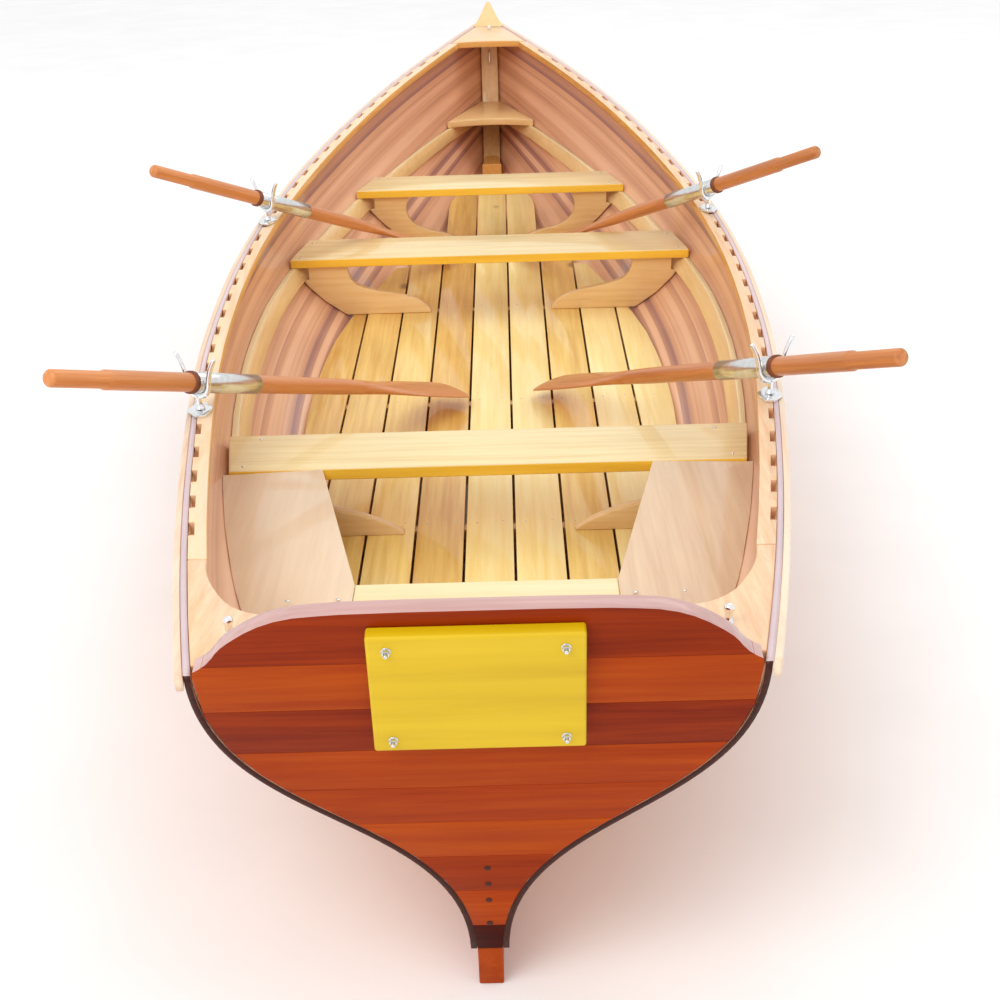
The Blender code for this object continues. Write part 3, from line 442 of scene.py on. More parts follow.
# %% Hull lines
RAIL_LENGTH = 5.165
RAIL_HALF = (0.422, 0.584, 0.688, 0.701, 0.598, 0.385, 0.0366)
RAIL_HEIGHT = (0.653, 0.569, 0.536, 0.540, 0.578, 0.646, 0.747)
PLANK, OUTWALE_WIDE = 0.010, 0.012
# Half-breadths and heights of a section's three lower control points, at five even steps to the bow
SECTION_X = (
    (0.0305, 0.0290, 0.0215, 0.0215, 0.0240),
    (0.033, 0.27, 0.36, 0.145, 0.0240),
    (0.41, 0.655, 0.72, 0.445, 0.0240),
)
SECTION_Z = (
    (0.085, 0.062, 0.055, 0.055, 0.055),
    (0.385, 0.10, 0.075, 0.080, 0.055),
    (0.36, 0.20, 0.205, 0.245, 0.22),
)
STEM_Y = (4.35, 4.98, 5.14, RAIL_LENGTH)
RAKE = math.radians(7.24)
KEEL_HALF = 0.020


def smooth(values, t):
    """The value at t, from 0 to 1, on a smooth curve through evenly spaced values."""
    v = np.asarray(values, float)
    v = np.concatenate([[3 * v[0] - 3 * v[1] + v[2]], v, [3 * v[-1] - 3 * v[-2] + v[-3]]])
    at = np.clip(t, 0, 1) * (len(values) - 1)
    k = np.clip(at.astype(int), 0, len(values) - 2)
    s = at - k
    a, b, c, d = v[k], v[k + 1], v[k + 2], v[k + 3]
    return b + 0.5 * s * (c - a + s * (2 * a - 5 * b + 4 * c - d + s * (3 * (b - c) + d - a)))


def bezier(controls, u):
    """The cubic Bezier value at u for four controls."""
    a, b, c, d = controls
    w = 1 - u
    return w**3 * a + 3 * w * w * u * b + 3 * w * u * u * c + u**3 * d


def rail(y):
    """Half-breadth and height of the rail's outer edge at y, and how slanted it runs there."""
    y = np.asarray(y, float)
    t = y / RAIL_LENGTH
    step = 0.001
    slope = (smooth(RAIL_HALF, t + step) - smooth(RAIL_HALF, t - step)) / (2 * step * RAIL_LENGTH)
    return smooth(RAIL_HALF, t), smooth(RAIL_HEIGHT, t), np.sqrt(1 + slope**2)


def stern_y(z):
    """The raked plane of the transom's after face."""
    return math.tan(RAKE) * (RAIL_HEIGHT[0] - z)


def skin(t, u):
    """The planking's outer face on the starboard side, at t along the boat and u up the section."""
    sheer = smooth(RAIL_HALF, t) - (OUTWALE_WIDE + 2 * GAP) * rail(t * RAIL_LENGTH)[2]
    x = bezier((*(smooth(row, t) for row in SECTION_X), sheer), u)
    z = bezier((*(smooth(row, t) for row in SECTION_Z), smooth(RAIL_HEIGHT, t)), u)
    start = stern_y(bezier((*(row[0] for row in SECTION_Z), RAIL_HEIGHT[0]), u))
    return np.stack([x, start + (bezier(STEM_Y, u) - start) * t, z], -1)


def skin_faces(long=200, rows=44):
    """Grids of points on the outer and the inner face, a plank's thickness apart."""
    t, u = np.meshgrid(np.linspace(0, 1, long), np.linspace(0, 1, rows), indexing="ij")
    outer = skin(t, u)
    step = 1e-4
    along = skin(np.minimum(t + step, 1), u) - skin(np.maximum(t - step, 0), u)
    up = skin(t, np.minimum(u + step, 1)) - skin(t, np.maximum(u - step, 0))
    normal = np.cross(along, up)
    normal /= np.linalg.norm(normal, axis=-1, keepdims=True)
    normal *= np.sign(normal[..., :1])
    inner = outer - normal * PLANK
    inner[..., 0] = np.maximum(inner[..., 0], KEEL_HALF + 2 * GAP)
    inner[:, -1] = outer[:, -1]
    inner[:, -1, 0] -= PLANK / normal[:, -1, 0]
    inner[0, :, 1] = stern_y(inner[0, :, 2])
    inner[-1] = outer[-1] - np.array([PLANK, 0.0, 0.0])
    return outer, inner


OUTER, INNER = skin_faces()
print("widest half-breadth of the planking:", round(float(OUTER[..., 0].max()), 3))

# %% [markdown]
# ## Planking
# Narrow cedar strips are bent round moulds and glued edge to edge, each one parallel to the sheer.
# The mesh keeps that: the distance below the sheer, measured along the skin, says which strip a point
# is in, and neighbouring strips get different tones.

# %% Planking
STRIP = 0.023


def strip_values(grid):
    """Distance along the boat and below the sheer, measured on the skin."""
    steps_up = np.linalg.norm(np.diff(grid, axis=1), axis=-1)
    below = np.concatenate([np.cumsum(steps_up[:, ::-1], axis=1)[:, ::-1], np.zeros((len(grid), 1))], axis=1)
    steps_on = np.linalg.norm(np.diff(grid, axis=0), axis=-1)
    along = np.concatenate([np.zeros((1, grid.shape[1])), np.cumsum(steps_on, axis=0)], axis=0)
    return along, below


def make_planking(side, word):
    """A closed shell from the outer and inner grids."""
    mirror = np.array([side, 1.0, 1.0])
    rings = np.concatenate([OUTER * mirror, INNER[:, ::-1] * mirror], axis=1)
    long, around = rings.shape[:2]
    half = around // 2
    faces = [f for f in ring_faces(long, around) if len(f) == 4]
    for first in (0, (long - 1) * around):
        j = np.arange(half - 1)
        strips = np.stack([first + j, first + j + 1, first + around - 2 - j, first + around - 1 - j], -1)
        faces += strips.tolist()
    piece = mesh_of(f"strip_planking_{word}", place(rings).reshape(-1, 3), faces)
    along, below = strip_values(OUTER)
    grain = np.stack([np.hstack([along, along[:, ::-1]]), np.hstack([below, below[:, ::-1]]),
                      np.zeros((long, around))], -1)
    finish(piece, CEDAR_STRIPS, "hull", [f"planking_{word}"], grain.reshape(-1, 3), 0.5)
    for wood in (CEDAR_OUTER_STRIPS, LIT_SHEER_EDGE, EDGE_WOOD):
        piece.data.materials.append(wood)
    inside, outside, sheer, ends = range(4)
    side_of = np.where(np.arange(around) < half - 1, outside, inside)
    # The planking's upper edge gets painted light.
    side_of[half - 1] = sheer
    index = np.concatenate([np.tile(side_of, long - 1), np.full(2 * (half - 1), ends)])
    piece.data.polygons.foreach_set("material_index", index.astype(np.int32))
    return piece


def make_strip_wood(wood, name):
    """A copy of a wood whose tone changes from strip to strip."""
    material = wood.copy()
    material.name = name
    tree = material.node_tree
    read = {n.attribute_name: n for n in tree.nodes if n.type == "ATTRIBUTE"}
    used = [link.to_socket for link in tree.links if link.from_node == read["tone"]]
    across = node(tree, "SeparateXYZ", Vector=read["grain"].outputs["Vector"]).outputs["Y"]
    number = node(tree, "Math", {"operation": "DIVIDE"}, _0=across, _1=STRIP).outputs[0]
    whole = node(tree, "Math", {"operation": "FLOOR"}, _0=number).outputs[0]
    chosen = node(tree, "TexWhiteNoise", {"noise_dimensions": "1D"}, W=whole).outputs["Value"]
    batch = node(tree, "TexNoise", {"noise_dimensions": "1D"}, W=number, Scale=0.37, Detail=0.0)
    spread = node(tree, "MapRange", Value=batch.outputs["Fac"], From_Min=0.3, From_Max=0.7,
                  To_Min=-0.25, To_Max=0.45).outputs[0]
    mixed = node(tree, "Math", {"operation": "MULTIPLY_ADD"}, _0=chosen, _1=0.6, _2=spread).outputs[0]
    for socket in used:
        tree.links.new(mixed, socket)
    return material


# The two cedars again, each strip in its own tone, with slow batches of lighter and darker strips.
CEDAR_STRIPS = make_strip_wood(CEDAR, "western red cedar strip planking, varnished")
CEDAR_OUTER_STRIPS = make_strip_wood(CEDAR_OUTSIDE, "western red cedar strip planking, outside")
SIDES = {"port": -1, "starboard": 1}
PLANKING = {word: make_planking(side, word) for word, side in SIDES.items()}
print("planking faces per side:", (len(OUTER) - 1) * OUTER.shape[1] * 2)

# %% [markdown]
# ## Sawn boards
# Thwarts, seats, knees and floorboards are flat boards. Their forms are right already, so a copy of
# each solid is joined up, its edges are rounded over, and its grain follows its longest side.

# %% Sawn boards
# Solids, their wood, the axis their grain follows, their colour slot, and the radius of their edges
BOARDS = (
    (("stern_thwart", "mid_thwart", "fore_thwart"), SPRUCE, "x", "thwarts", 0.004),
    (("bow_seat",), ASH, "x", "thwarts", 0.004),
    (("side_seat_port", "side_seat_starboard"), SEAT_WOOD, "y", "stern_seats", 0.003),
    (("aft_seat",), SPRUCE, "x", "stern_seats", 0.003),
    (("quarter_knee_port", "quarter_knee_starboard"), RAIL_ASH, "y", "inwale", 0.003),
    (("breasthook",), RAIL_ASH, "x", "inwale", 0.003),
    (tuple(f"knee_{where}_{word}" for where in ("stern", "mid", "fore") for word in SIDES),
     ASH, "x", "knees", 0.004),
    (tuple(f"floor_slat_{k}" for k in range(1, 10)), PINE, "y", "floor", 0.0012),
    (tuple(f"floor_timber_{where}" for where in ("aft", "waist", "mid", "fore")), ASH, "x", "knees", 0.002),
    (("keelson",), ASH, "y", "inwale", 0.003),
    (("inner_stem",), ASH, "z", "inwale", 0.003),
    (("keel",), KEEL_WOOD, "y", "transom", 0.003),
    (("stem",), KEEL_WOOD, "z", "transom", 0.003),
    (("stem_head",), ASH, "z", "outwale", 0.002),
)


def plane_to_fit(board, word):
    """Brings a board's outboard edge to a hair from the planking, as a boatbuilder planes it to fit."""
    normals = np.empty(len(board.data.vertices) * 3, np.float32)
    board.data.vertices.foreach_get("normal", normals)
    group = board.vertex_groups.new(name="outboard edge")
    looks_outboard = normals[::3] * SIDES[word] > 0.25
    group.add(np.flatnonzero(looks_outboard).tolist(), 1.0, "REPLACE")
    wrap = board.modifiers.new("planed to the planking", "SHRINKWRAP")
    wrap.target = PLANKING[word]
    wrap.wrap_mode = "OUTSIDE_SURFACE"
    wrap.offset = GAP
    wrap.vertex_group = group.name
    board.modifiers.move(1, 0)


UP, AFT, LOOKS_ALONG = (0, 0, 1), (0, -1, 0), 0.7
for names, wood, axis, slot, radius in BOARDS:
    for name in names:
        board = finish(ease(joined(name, f"{name}_board"), radius), wood, "hull", [name], axis)
        if name.endswith("_thwart"):
            # The thwarts' faces that look aft get painted light, a strong yellow.
            recolour(board, AFT, LOOKS_ALONG, LIT_THWART_EDGE)
        elif name == "breasthook":
            # The breasthook's after face gets painted shade.
            recolour(board, AFT, LOOKS_ALONG, AMBER_ASH_AND_SHADE)
        elif name.startswith(("quarter_knee_", "side_seat_")):
            plane_to_fit(board, name.split("_")[-1])
print("boards:", sum(len(row[0]) for row in BOARDS))

# %% [markdown]
# ## Transom planks
# The wineglass board is glued up from level planks of nearly one width. A copy of the solid is sliced
# at the measured seams, square to its face, and each slice is closed and eased, so every plank has its
# own tone and a fine line of shadow runs between them. Its top edge is painted paler: painted light.

# %% Transom planks
SEAMS = (0.060, 0.138, 0.216, 0.290, 0.362, 0.433, 0.507, 0.585, 0.666, 0.80)
SEAM_HALF = 0.0001
UP_THE_STERN = Vector((0.0, -math.sin(RAKE), math.cos(RAKE)))


def slice_board(node_name, name, low, high):
    """The part of a raked board between two seams, a hair apart from its neighbours."""
    piece = joined(node_name, name)
    work = bmesh.new()
    work.from_mesh(piece.data)
    for height, way in ((low + SEAM_HALF, -1), (high - SEAM_HALF, 1)):
        at = Vector(place((0.0, stern_y(height), height)))
        everything = work.verts[:] + work.edges[:] + work.faces[:]
        bmesh.ops.bisect_plane(
            work, geom=everything, plane_co=at, plane_no=UP_THE_STERN * way, clear_outer=True)
        rim = [edge for edge in work.edges if edge.is_boundary]
        if rim:
            bmesh.ops.holes_fill(work, edges=rim, sides=0)
    bmesh.ops.recalc_face_normals(work, faces=work.faces)
    work.to_mesh(piece.data)
    work.free()
    shade(piece.data)
    return piece


PLANK_TONES = (0.55, 0.35, 0.7, 0.3, 0.5, 0.42, 0.86, 0.3, 0.78)
CROWN_FOOT = 0.6  # planks that end above this height show a part of the top edge, paler by painted light
for k, (low, high, tone) in enumerate(zip(SEAMS[:-1], SEAMS[1:], PLANK_TONES)):
    plank = slice_board("transom", f"transom_plank_{k + 1}", low, high)
    # The lowest plank gets painted shade.
    wood = SHADED_STERN_FOOT if high == SEAMS[1] else STERN_WOOD
    finish(plank, wood, "hull", ["transom"], "x", tone)
    if high > CROWN_FOOT:
        # A face sawn at a seam looks straight up the stern, and keeps its stain. The crown's upward faces get
        # painted light.
        recolour(plank, UP, 0.35, LIT_TOP_EDGE, most=0.985 if high < SEAMS[-1] else 1.1)
    ease(plank, radius=0.0007, segments=2)
print("transom planks:", len(SEAMS) - 1)

# %% [markdown]
# ## Turned metal
# Nuts, washers, screw heads and posts are turned on a lathe: a profile of radius and height, carried
# round an axis. Six steps round give a hexagonal nut. Each kind is made once and placed many times.


# %% Turned metal
def turned(profile, around=32):
    """Rings round the Z axis from a profile of (height, radius)."""
    q = np.linspace(0, 2 * math.pi, around, endpoint=False)
    profile = np.asarray(profile, float)
    height, radius = profile[:, 0, None], profile[:, 1, None]
    return np.stack([radius * np.cos(q), radius * np.sin(q), height + 0 * q], -1)


def add_turned(name, rings, matrices, material, body="hull", stands_for=(),
               rounded=True):
    """Copies of one turned piece, each moved by its own matrix, joined in one mesh."""
    flat = rings.reshape(-1, 3)
    faces = ring_faces(*rings.shape[:2])
    points = np.concatenate([moved(m, flat) for m in matrices])
    every = [[v + k * len(flat) for v in face] for k in range(len(matrices)) for face in faces]
    piece = mesh_of(name, points, every, rounded)
    return finish(piece, material, body, stands_for)


def moved(matrix, points):
    """Points moved by a 4 by 4 matrix, in an array of any shape."""
    m = np.array(matrix)
    return (points.reshape(-1, 3) @ m[:3, :3].T + m[:3, 3]).reshape(points.shape)


def ball(radius, height, steps, start):
    """Heights and radii of a ball about a height, from an angle below its top up to the top."""
    a = np.radians(np.linspace(start, 0, steps))
    return [(height + radius * math.cos(v), max(radius * math.sin(v), 0.00005)) for v in a]


# %% [markdown]
# ## Motor pad
# A stained board bolted to the stern, so that a small motor's clamp can't bruise the transom. Its top
# edge is rounded. Four bolts pass through it, each with a washer, a hexagonal nut and a bare thread end.

# %% Motor pad
PAD_HALF, PAD_MIDDLE, PAD_THICK = 0.150, 0.630, 0.027
PAD_TALL = (0.731 - 0.529) / math.cos(RAKE)
BOLT_X, BOLT_Z = 0.122, (0.550, 0.708)
facing_aft = Matrix.Rotation(math.pi / 2 + RAKE, 4, "X")


def on_stern(x, z, forward):
    """A matrix at a point of the stern, moved forward square to it, its Z axis looking aft."""
    at = place((x, stern_y(z) + forward * math.cos(RAKE), z + forward * math.sin(RAKE)))
    return Matrix.Translation(at) @ facing_aft


CORNERS = np.array([(x, y, z) for x in (-1, 1) for y in (-1, 1) for z in (-1, 1)], float)
BOX_FACES = [(0, 1, 3, 2), (4, 5, 7, 6), (0, 1, 5, 4), (2, 3, 7, 6), (0, 2, 6, 4), (1, 3, 7, 5)]
pad_corners = CORNERS * (PAD_HALF, PAD_TALL / 2, PAD_THICK / 2)
pad_middle = on_stern(0.0, PAD_MIDDLE, -PAD_THICK / 2 - GAP)
pad = mesh_of("motor_pad_plate", moved(pad_middle, pad_corners), BOX_FACES)
finish(pad, PAD_WOOD, "hull", ["motor_pad"], grain="x", tone=0.5)
ease(pad, radius=0.0045, segments=4)
spots = [on_stern(side * BOLT_X, z, -PAD_THICK - GAP) for side in (-1, 1) for z in BOLT_Z]
washer = ((0, 0.0064), (0.0002, 0.007), (0.001, 0.007), (0.0012, 0.0064))
add_turned("pad_washers", turned(washer), spots, STEEL)
nut = ((0.0012, 0.0054), (0.0016, 0.006), (0.0066, 0.006), (0.007, 0.0054))
add_turned("pad_nuts", turned(nut, 6), spots, STEEL, rounded=False)
NUT_TOP, THREAD_PITCH, THREAD_RADIUS, THREAD_DEEP = 0.0070, 0.0008, 0.0034, 0.0005
thread = [(NUT_TOP + k * THREAD_PITCH, THREAD_RADIUS - THREAD_DEEP * (k % 2)) for k in range(8)]
thread.append((0.0134, 0.0020))
add_turned("pad_bolt_ends", turned(thread, 24), spots, STEEL)
print("pad bolts:", len(spots))

# %% [markdown]
# ## Rails
# Long battens bent round the sheer. The outwale is a small rounded profile swept along the rail's
# outer edge and square to it. The notched inwale and the riser keep their solids' forms, eased.


# %% Rails
OUTWALE_TALL, OUTWALE_END = 0.025, 5.158


def rounded_corners(wide, tall, radius=0.0025, steps=3):
    """A rectangle from (0, 0) across to wide and down to -tall, with rounded corners."""
    quarter = np.radians(np.linspace(0, 90, steps + 1))
    corners = ((wide - radius, -radius, 0), (radius, -radius, 90),
               (radius, radius - tall, 180), (wide - radius, radius - tall, 270))
    bends = [(x, z, quarter + math.radians(start)) for x, z, start in corners]
    arcs = [np.stack([x + radius * np.cos(a), z + radius * np.sin(a)], -1) for x, z, a in bends]
    return np.concatenate(arcs)


def make_outwale(word, side):
    """The rounded profile swept along the rail's outer edge, square to it, and its grain."""
    y = np.linspace(0.0, OUTWALE_END, 180)
    half, height, slant = rail(y)
    profile = rounded_corners(OUTWALE_WIDE, OUTWALE_TALL)
    x = half[:, None] - (OUTWALE_WIDE - profile[None, :, 0]) * slant[:, None]
    z = height[:, None] + profile[None, :, 1]
    rings = np.stack([side * x, np.broadcast_to(y[:, None], x.shape), z], -1)
    return swept(f"outwale_batten_{word}", place(rings)), rings.reshape(-1, 3)[:, GRAIN_ORDER["y"]]


for word, side in SIDES.items():
    piece, grain = make_outwale(word, side)
    finish(piece, OUTER_RAIL, "hull", [f"outwale_{word}"], grain)
    # The inwale's and the riser's inboard faces get a darker wood: painted shade.
    for kind, wood, inner in (("inwale", RAIL_ASH, AMBER_ASH_AND_SHADE), ("riser", SPRUCE, ASH)):
        name = f"{kind}_{word}"
        batten = ease(joined(name, f"{name}_batten"), radius=0.002, segments=2)
        finish(batten, wood, "hull", [name], "y")
        recolour(batten, (-side, 0, 0), 0.5, inner)
print("rails bent")

# %% [markdown]
# ## Oars
# A loom turned from spruce swells from the grip, passes through a steel sleeve at the lock, and
# flattens into a blade. The rings of the mesh change from a circle to a thin ellipse.

# %% Oars
LOCKS = {"aft": 1.207, "fore": 2.708}
SWING = {("aft", -1): 60.0, ("aft", 1): 64.0, ("fore", -1): 52.0, ("fore", 1): 52.0}
DIP = {"aft": 20.75, "fore": 23.3}
FEATHER = 12.0
OUTBOARD = {"aft": 0.429, "fore": 0.445}
OAR_LENGTH = {"aft": 1.525, "fore": 1.375}
LOCK_INSET, LOCK_RISE, PLATE_LIFT = 0.030, 0.068, 0.0020
LOOM, GRIP, SLEEVE = 0.0205, 0.0175, 0.0222
SLEEVE_SPAN = (0.415, 0.627)
BLADE_LENGTH, COLLAR_WIDE = 0.465, 0.014


def lock_matrix(station, side, dip=0.0):
    """From an oar's or a lock's own frame to the world."""
    half, height, _ = (float(v) for v in rail(LOCKS[station]))
    at = place((side * (half - LOCK_INSET), LOCKS[station], height + LOCK_RISE))
    angle = SWING[(station, side)]
    swing = Matrix.Rotation(math.radians(angle if side < 0 else 180 - angle), 4, "Z")
    return Matrix.Translation(at) @ swing @ Matrix.Rotation(math.radians(dip), 4, "Y")


def oar_rings(station, around=40):
    """Rings along the oar: half-width and half-thickness drawn smoothly through measured stations."""
    tip = OAR_LENGTH[station]
    blade = tip - BLADE_LENGTH
    table = np.array([  # distance from the grip's end, half-width, half-thickness
        (0.0, 0.010, 0.010), (0.0015, 0.0145, 0.0145), (0.006, GRIP, GRIP), (0.145, GRIP, GRIP),
        (0.1495, LOOM, LOOM), (SLEEVE_SPAN[0], LOOM, LOOM), (SLEEVE_SPAN[1], LOOM, LOOM),
        (blade - 0.11, LOOM * 0.95, LOOM * 0.95), (blade, 0.022, 0.017), (blade + 0.11, 0.040, 0.010),
        (blade + 0.22, 0.053, 0.007), (tip - 0.105, 0.058, 0.0055), (tip - 0.020, 0.0555, 0.0052),
        (tip - 0.004, 0.046, 0.0048), (tip, 0.036, 0.0032),
    ])
    along_loom, along_blade = np.linspace(0.16, blade - 0.12, 14), np.linspace(blade - 0.1, tip - 0.02, 34)
    s = np.unique(np.concatenate([table[:, 0], along_loom, along_blade]))
    half_wide, half_thick = np.interp(s, table[:, 0], table[:, 1]), np.interp(s, table[:, 0], table[:, 2])
    inside = (s > blade - 0.10) & (s < tip - 0.03)
    for values in (half_wide, half_thick):
        for _ in range(6):
            values[inside] = np.convolve(values, (0.25, 0.5, 0.25), "same")[inside]
    q = np.linspace(0, 2 * math.pi, around, endpoint=False)
    along = np.broadcast_to((s - OUTBOARD[station])[:, None], (len(s), around))
    return np.stack([along, half_wide[:, None] * np.cos(q), half_thick[:, None] * np.sin(q)], -1)


def sleeve_rings(profile, around=48):
    """Rings round an oar's own axis from (distance, radius) pairs."""
    q = np.linspace(0, 2 * math.pi, around, endpoint=False)
    rings = [np.stack([np.full(around, at), r * np.cos(q), r * np.sin(q)], -1) for at, r in profile]
    return np.stack(rings)


for station in LOCKS:
    rings = oar_rings(station)
    for word, side in SIDES.items():
        matrix = lock_matrix(station, side, DIP[station])
        matrix = matrix @ Matrix.Rotation(math.radians(-side * FEATHER), 4, "X")
        name = f"oar_{station}_{word}"
        loom = swept(f"{name}_loom", moved(matrix, rings))
        finish(loom, OAR_WOOD, name, [name], rings.reshape(-1, 3))
        start, end = (v - OUTBOARD[station] for v in SLEEVE_SPAN)
        in_loom = LOOM - 0.001
        tube = sleeve_rings((
            (start, in_loom), (start, SLEEVE - 0.0005), (start + 0.0006, SLEEVE),
            (end - 0.0006, SLEEVE), (end, SLEEVE - 0.0005), (end, in_loom)))
        finish(swept(f"{name}_sleeve", moved(matrix, tube)), STEEL, name)
        along_oar = matrix @ Matrix.Translation((start - COLLAR_WIDE, 0, 0))
        along_oar = along_oar @ Matrix.Rotation(math.pi / 2, 4, "Y")
        rim, crown = SLEEVE + 0.0010, SLEEVE + 0.0024
        collar = ((0.0, in_loom), (0.0005, rim), (0.003, crown),
                  (COLLAR_WIDE - 0.003, crown), (COLLAR_WIDE - 0.0005, rim), (COLLAR_WIDE, in_loom))
        add_turned(f"{name}_collar", turned(collar, 48), [along_oar], LEATHER, name)
print("oars:", 2 * len(LOCKS))

# %% [markdown]
# ## Oarlocks
# A horned oarlock is a bronze rod bent to a U round the oar, its two horns curling outward, on a pin
# that turns in a plate on the rail. The rod is a circle swept along a smooth path.


# %% Oarlocks
def along_path(path, radius, around=20):
    """Rings round a path, with one radius for all rings or one for each. Each ring lies square to the path's
    own direction.
    """
    path = np.asarray(path, float)
    tangent = np.gradient(path, axis=0)
    tangent /= np.linalg.norm(tangent, axis=1, keepdims=True)
    side = np.array([1.0, 0.0, 0.0])
    other = np.cross(tangent, side)
    other /= np.linalg.norm(other, axis=1, keepdims=True)
    q = np.linspace(0, 2 * math.pi, around, endpoint=False)
    circle = np.cos(q)[:, None] * side + np.sin(q)[:, None] * other[:, None, :]
    return path[:, None, :] + np.broadcast_to(radius, len(path))[:, None, None] * circle


def soft_path(points, count):
    """A smooth path through points, at even steps of the curve."""
    points = np.asarray(points, float)
    t = np.linspace(0, 1, count)
    return np.stack([smooth(points[:, k], t) for k in range(points.shape[1])], -1)


HORN_BEND, ROD = 0.0308, 0.0058


def lock_path():
    """The rod of one lock in its own frame, from horn tip to horn tip."""
    a = np.radians(np.linspace(180, 270, 6))
    half = [(-0.054, 0.06), (-0.047, 0.05), (-0.04, 0.036), (-0.0345, 0.02), (-0.0314, 0.008)]
    half += [(HORN_BEND * math.cos(v), HORN_BEND * math.sin(v)) for v in a[:-1]]
    points = half + [(0.0, -HORN_BEND)] + [(-y, z) for y, z in reversed(half)]
    flat = soft_path(points, 90)
    return np.concatenate([np.zeros((len(flat), 1)), flat], 1)


path = lock_path()
ends = np.concatenate([[0.35, 0.75, 0.95], np.ones(len(path) - 6), [0.95, 0.75, 0.35]])
for station in LOCKS:
    for word, side in SIDES.items():
        matrix = lock_matrix(station, side)
        rings = along_path(path, ROD * ends)
        name = f"oarlock_{station}_{word}"
        horns = swept(f"{name}_horns", moved(matrix, rings))
        finish(horns, CHROME, f"lock_{station}_{word}", [name])
        low = -LOCK_RISE + PLATE_LIFT + GAP
        shank = ((-0.0300, 0.0066), (-0.0360, 0.0058), (-0.0440, 0.0054), (low + 0.0135, 0.0056),
                 (low + 0.0100, 0.0100), (low + 0.0070, 0.0105), (low + 0.0066, 0.0056), (low, 0.0052))
        add_turned(f"{name}_shank", turned(shank), [matrix], CHROME, f"lock_{station}_{word}")
print("locks bent")

# %% [markdown]
# ## Plates, posts and screws
# Each lock turns in a lozenge plate held by two screws. Ball-headed studs stand on the quarter knees.
# Round-headed screws hold the thwarts, the side seats and the floorboards, and wooden plugs hide the
# bolts through the sternpost.

# %% Plates, posts and screws
for name in [n for n in nodes if n.startswith("socket_")]:
    plate = ease(joined(name, f"{name}_plate"), radius=0.0012)
    finish(plate, CHROME, "hull", [name])
screw = [(0.0, 0.004), (0.0006, 0.0042), (0.0014, 0.0036), (0.0019, 0.0022), (0.0021, 0.0006)]
PLATE_THICK, PLATE_SCREW = 0.0060, 0.026
plate_screws = []
for y in LOCKS.values():
    half, height, _ = (float(v) for v in rail(y))
    rail_turn = math.atan2(float(rail(y + 0.01)[0] - rail(y - 0.01)[0]), 0.02)
    for side in SIDES.values():
        at = place((side * (half - LOCK_INSET), y, height + PLATE_LIFT + PLATE_THICK))
        plate = Matrix.Translation(at) @ Matrix.Rotation(-side * rail_turn, 4, "Z")
        plate_screws += [plate @ Matrix.Translation((0, away, 0)) for away in (-PLATE_SCREW, PLATE_SCREW)]
add_turned("plate_screws", turned(screw), plate_screws, STEEL)

for name in [n for n in nodes if n.startswith("post_")]:
    low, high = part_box(name)
    foot = Vector(((low.x + high.x) / 2, (low.y + high.y) / 2, low.z))
    post_tall = high.z - low.z
    stud = [(0.0, 0.0074), (0.0004, 0.008), (0.0014, 0.008), (0.0018, 0.0058), (post_tall - 0.0164, 0.0058)]
    stud += ball(0.008, post_tall - 0.0081, 12, 128)
    add_turned(f"{name}_stud", turned(stud, 36), [Matrix.Translation(foot)], CHROME, stands_for=[name])


def upright(x, y, z):
    """A matrix at a point of the hull's frame, its Z axis up."""
    return Matrix.Translation(place((x, y, z)))


def top_of(name):
    """The height of a solid's top in the hull's frame."""
    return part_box(name)[1].z + DRAFT


screws = [upright(x, 0.688, top_of("side_seat_port")) for x in (-0.372, -0.277, 0.279, 0.370)]
THWART_SCREWS = (  # the aft and the fore screw's y, and how far the aft one is from the middle
    ("stern_thwart", 1.30, 1.45, 0.545),
    ("mid_thwart", 2.844, 3.0, 0.590),
    ("fore_thwart", 3.60, 3.75, 0.425),
)
screws += [upright(side * (half - 0.02 * k), y, top_of(name)) for name, aft, fore, half in THWART_SCREWS
           for k, y in enumerate((aft, fore)) for side in (-1, 1)]
add_turned("seat_screws", turned(screw), screws, STEEL)
SLAT_PITCH, PAIR_HALF = 0.1128, 0.03
TIMBER_SCREWS = ((1.35, 3), (2.10, 4), (2.90, 3), (3.67, 1))  # each timber's y, and its slats to a side
floor_top = top_of("floor_slat_5")
slat_screws = [upright(k * SLAT_PITCH + off, y + 0.004 * off / PAIR_HALF, floor_top)
               for y, reach in TIMBER_SCREWS for k in range(-reach, reach + 1)
               for off in ((-PAIR_HALF, PAIR_HALF) if abs(k) < reach else (0.0,))]
add_turned("floor_screws", turned([(z * 0.6, r * 0.62) for z, r in screw], 20), slat_screws, STEEL)
plugs = [on_stern(0.0015, z, -0.0002) for z in (0.2638, 0.2299, 0.1945, 0.1429)]
cap = turned(((-0.002, 0.0052), (0.0001, 0.0052), (0.0005, 0.0046), (0.0006, 0.001)), 24)
plug = add_turned("sternpost_plugs", cap, plugs, EDGE_WOOD)
set_attribute(plug, "grain", points_of(plug)[:, GRAIN_ORDER["z"]], "FLOAT_VECTOR")
print("screws:", len(screws) + len(slat_screws) + len(plate_screws))

# %% [markdown]
# ## Bow fittings
# A bolt with a bright round head ties the stem's cap down through the breasthook, and a long staple on
# the inner stem takes the bow line. The staple is a thin rod bent twice. A tapered block stands at the
# inner stem's foot, between the floorboards' ends and the bow.

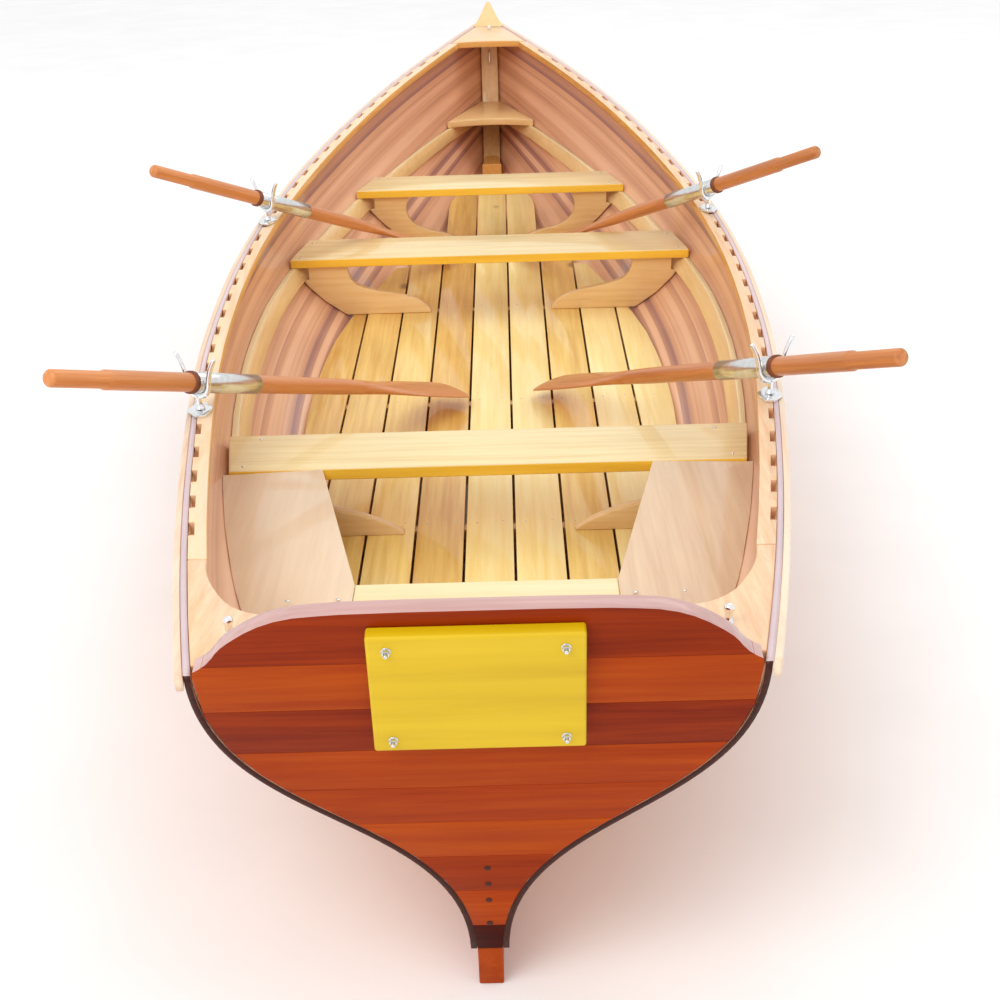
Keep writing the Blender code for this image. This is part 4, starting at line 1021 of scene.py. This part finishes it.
# %% Bow fittings
bolt = [(0.0, 0.008), (0.001, 0.0086), (0.0022, 0.008)] + ball(0.007, 0.005, 10, 115)
add_turned("stem_bolt", turned(bolt, 32), [upright(0.003, 5.018, top_of("breasthook") - 0.004)], CHROME)
BENDS = (0, 0.14, 0.2, 0.8, 0.86, 1)
STAPLE_Y = (5.092, 5.066, 5.062, 5.052, 5.053, 5.075)
STAPLE_Z = (0.634, 0.634, 0.629, 0.586, 0.580, 0.579)
u = np.linspace(0, 1, 40)
staple = np.stack([0 * u, np.interp(u, BENDS, STAPLE_Y), np.interp(u, BENDS, STAPLE_Z)], -1)
for _ in range(3):
    staple[1:-1] = (staple[:-2] + 2 * staple[1:-1] + staple[2:]) / 4
rod = swept("bow_staple", place(along_path(staple, radius=0.0032, around=16)))
finish(rod, CHROME, "hull")
FOOT_HALF, FOOT_REACH, FOOT_DEEP, FOOT_TAPER = 0.041, 0.080, 0.0225, 0.62
FOOT_MIDDLE = (0.0, 4.775, 0.198)
block = CORNERS * (FOOT_HALF, FOOT_REACH, FOOT_DEEP) + FOOT_MIDDLE
block[CORNERS[:, 1] > 0, 0] *= FOOT_TAPER
foot = ease(mesh_of("stem_foot_block", place(block), BOX_FACES), radius=0.003)
finish(foot, AMBER_ASH_AND_SHADE, "hull", grain="y", tone=0.4)
print("bow fittings made")

# %% [markdown]
# ## Studio
# A wide pale sweep, one large soft light high behind the camera, one over the bow, and a white sky.

# %% Studio
sweep = [(x, y, FLOOR_LEVEL) for x, y in ((-14, -9), (14, -9), (14, 16), (-14, 16))]
floor = mesh_of("studio_floor", sweep, [(0, 1, 2, 3)])
# Matt paint, rolled on, with a faint mottle: a plain ground that holds soft shadows.
material, tree, shader = new_material("matt white paint on the studio floor")
here = node(tree, "TexCoord").outputs["Object"]
mottle = node(tree, "TexNoise", Vector=here, Scale=3.0, Detail=6.0).outputs["Fac"]
feed(shader, Base_Color=ramp(tree, mottle, ((0.3, "#F7F7F7"), (0.7, "#FCFCFC"))), Roughness=0.9)
floor.data.materials.append(material)


def add_light(name, size, power, position, target):
    """A square soft white light at a position, turned to a target."""
    data = bpy.data.lights.new(name, "AREA")
    data.shape = "SQUARE"
    data.size = size
    data.energy = power
    light = bpy.data.objects.new(name, data)
    bpy.context.scene.collection.objects.link(light)
    light.location = position
    aim = np.array(target, float) - np.array(position, float)
    light.rotation_mode = "QUATERNION"
    light.rotation_quaternion = Vector(aim).to_track_quat("-Z", "Y")


add_light("key", size=3.5, power=130, position=(-2.6, -5.2, 5.0), target=(0, 0, 0))
add_light("fill", size=4.0, power=70, position=(2.2, 2.4, 5.5), target=(0, 0.5, 0))
world = bpy.data.worlds.new("white sky")
world.use_nodes = True
sky = world.node_tree.nodes["Background"]
sky.inputs["Color"].default_value = (1, 1, 1, 1)
sky.inputs["Strength"].default_value = 0.97
bpy.context.scene.world = world
bpy.context.scene.view_settings.view_transform = "Standard"
print("studio lit")
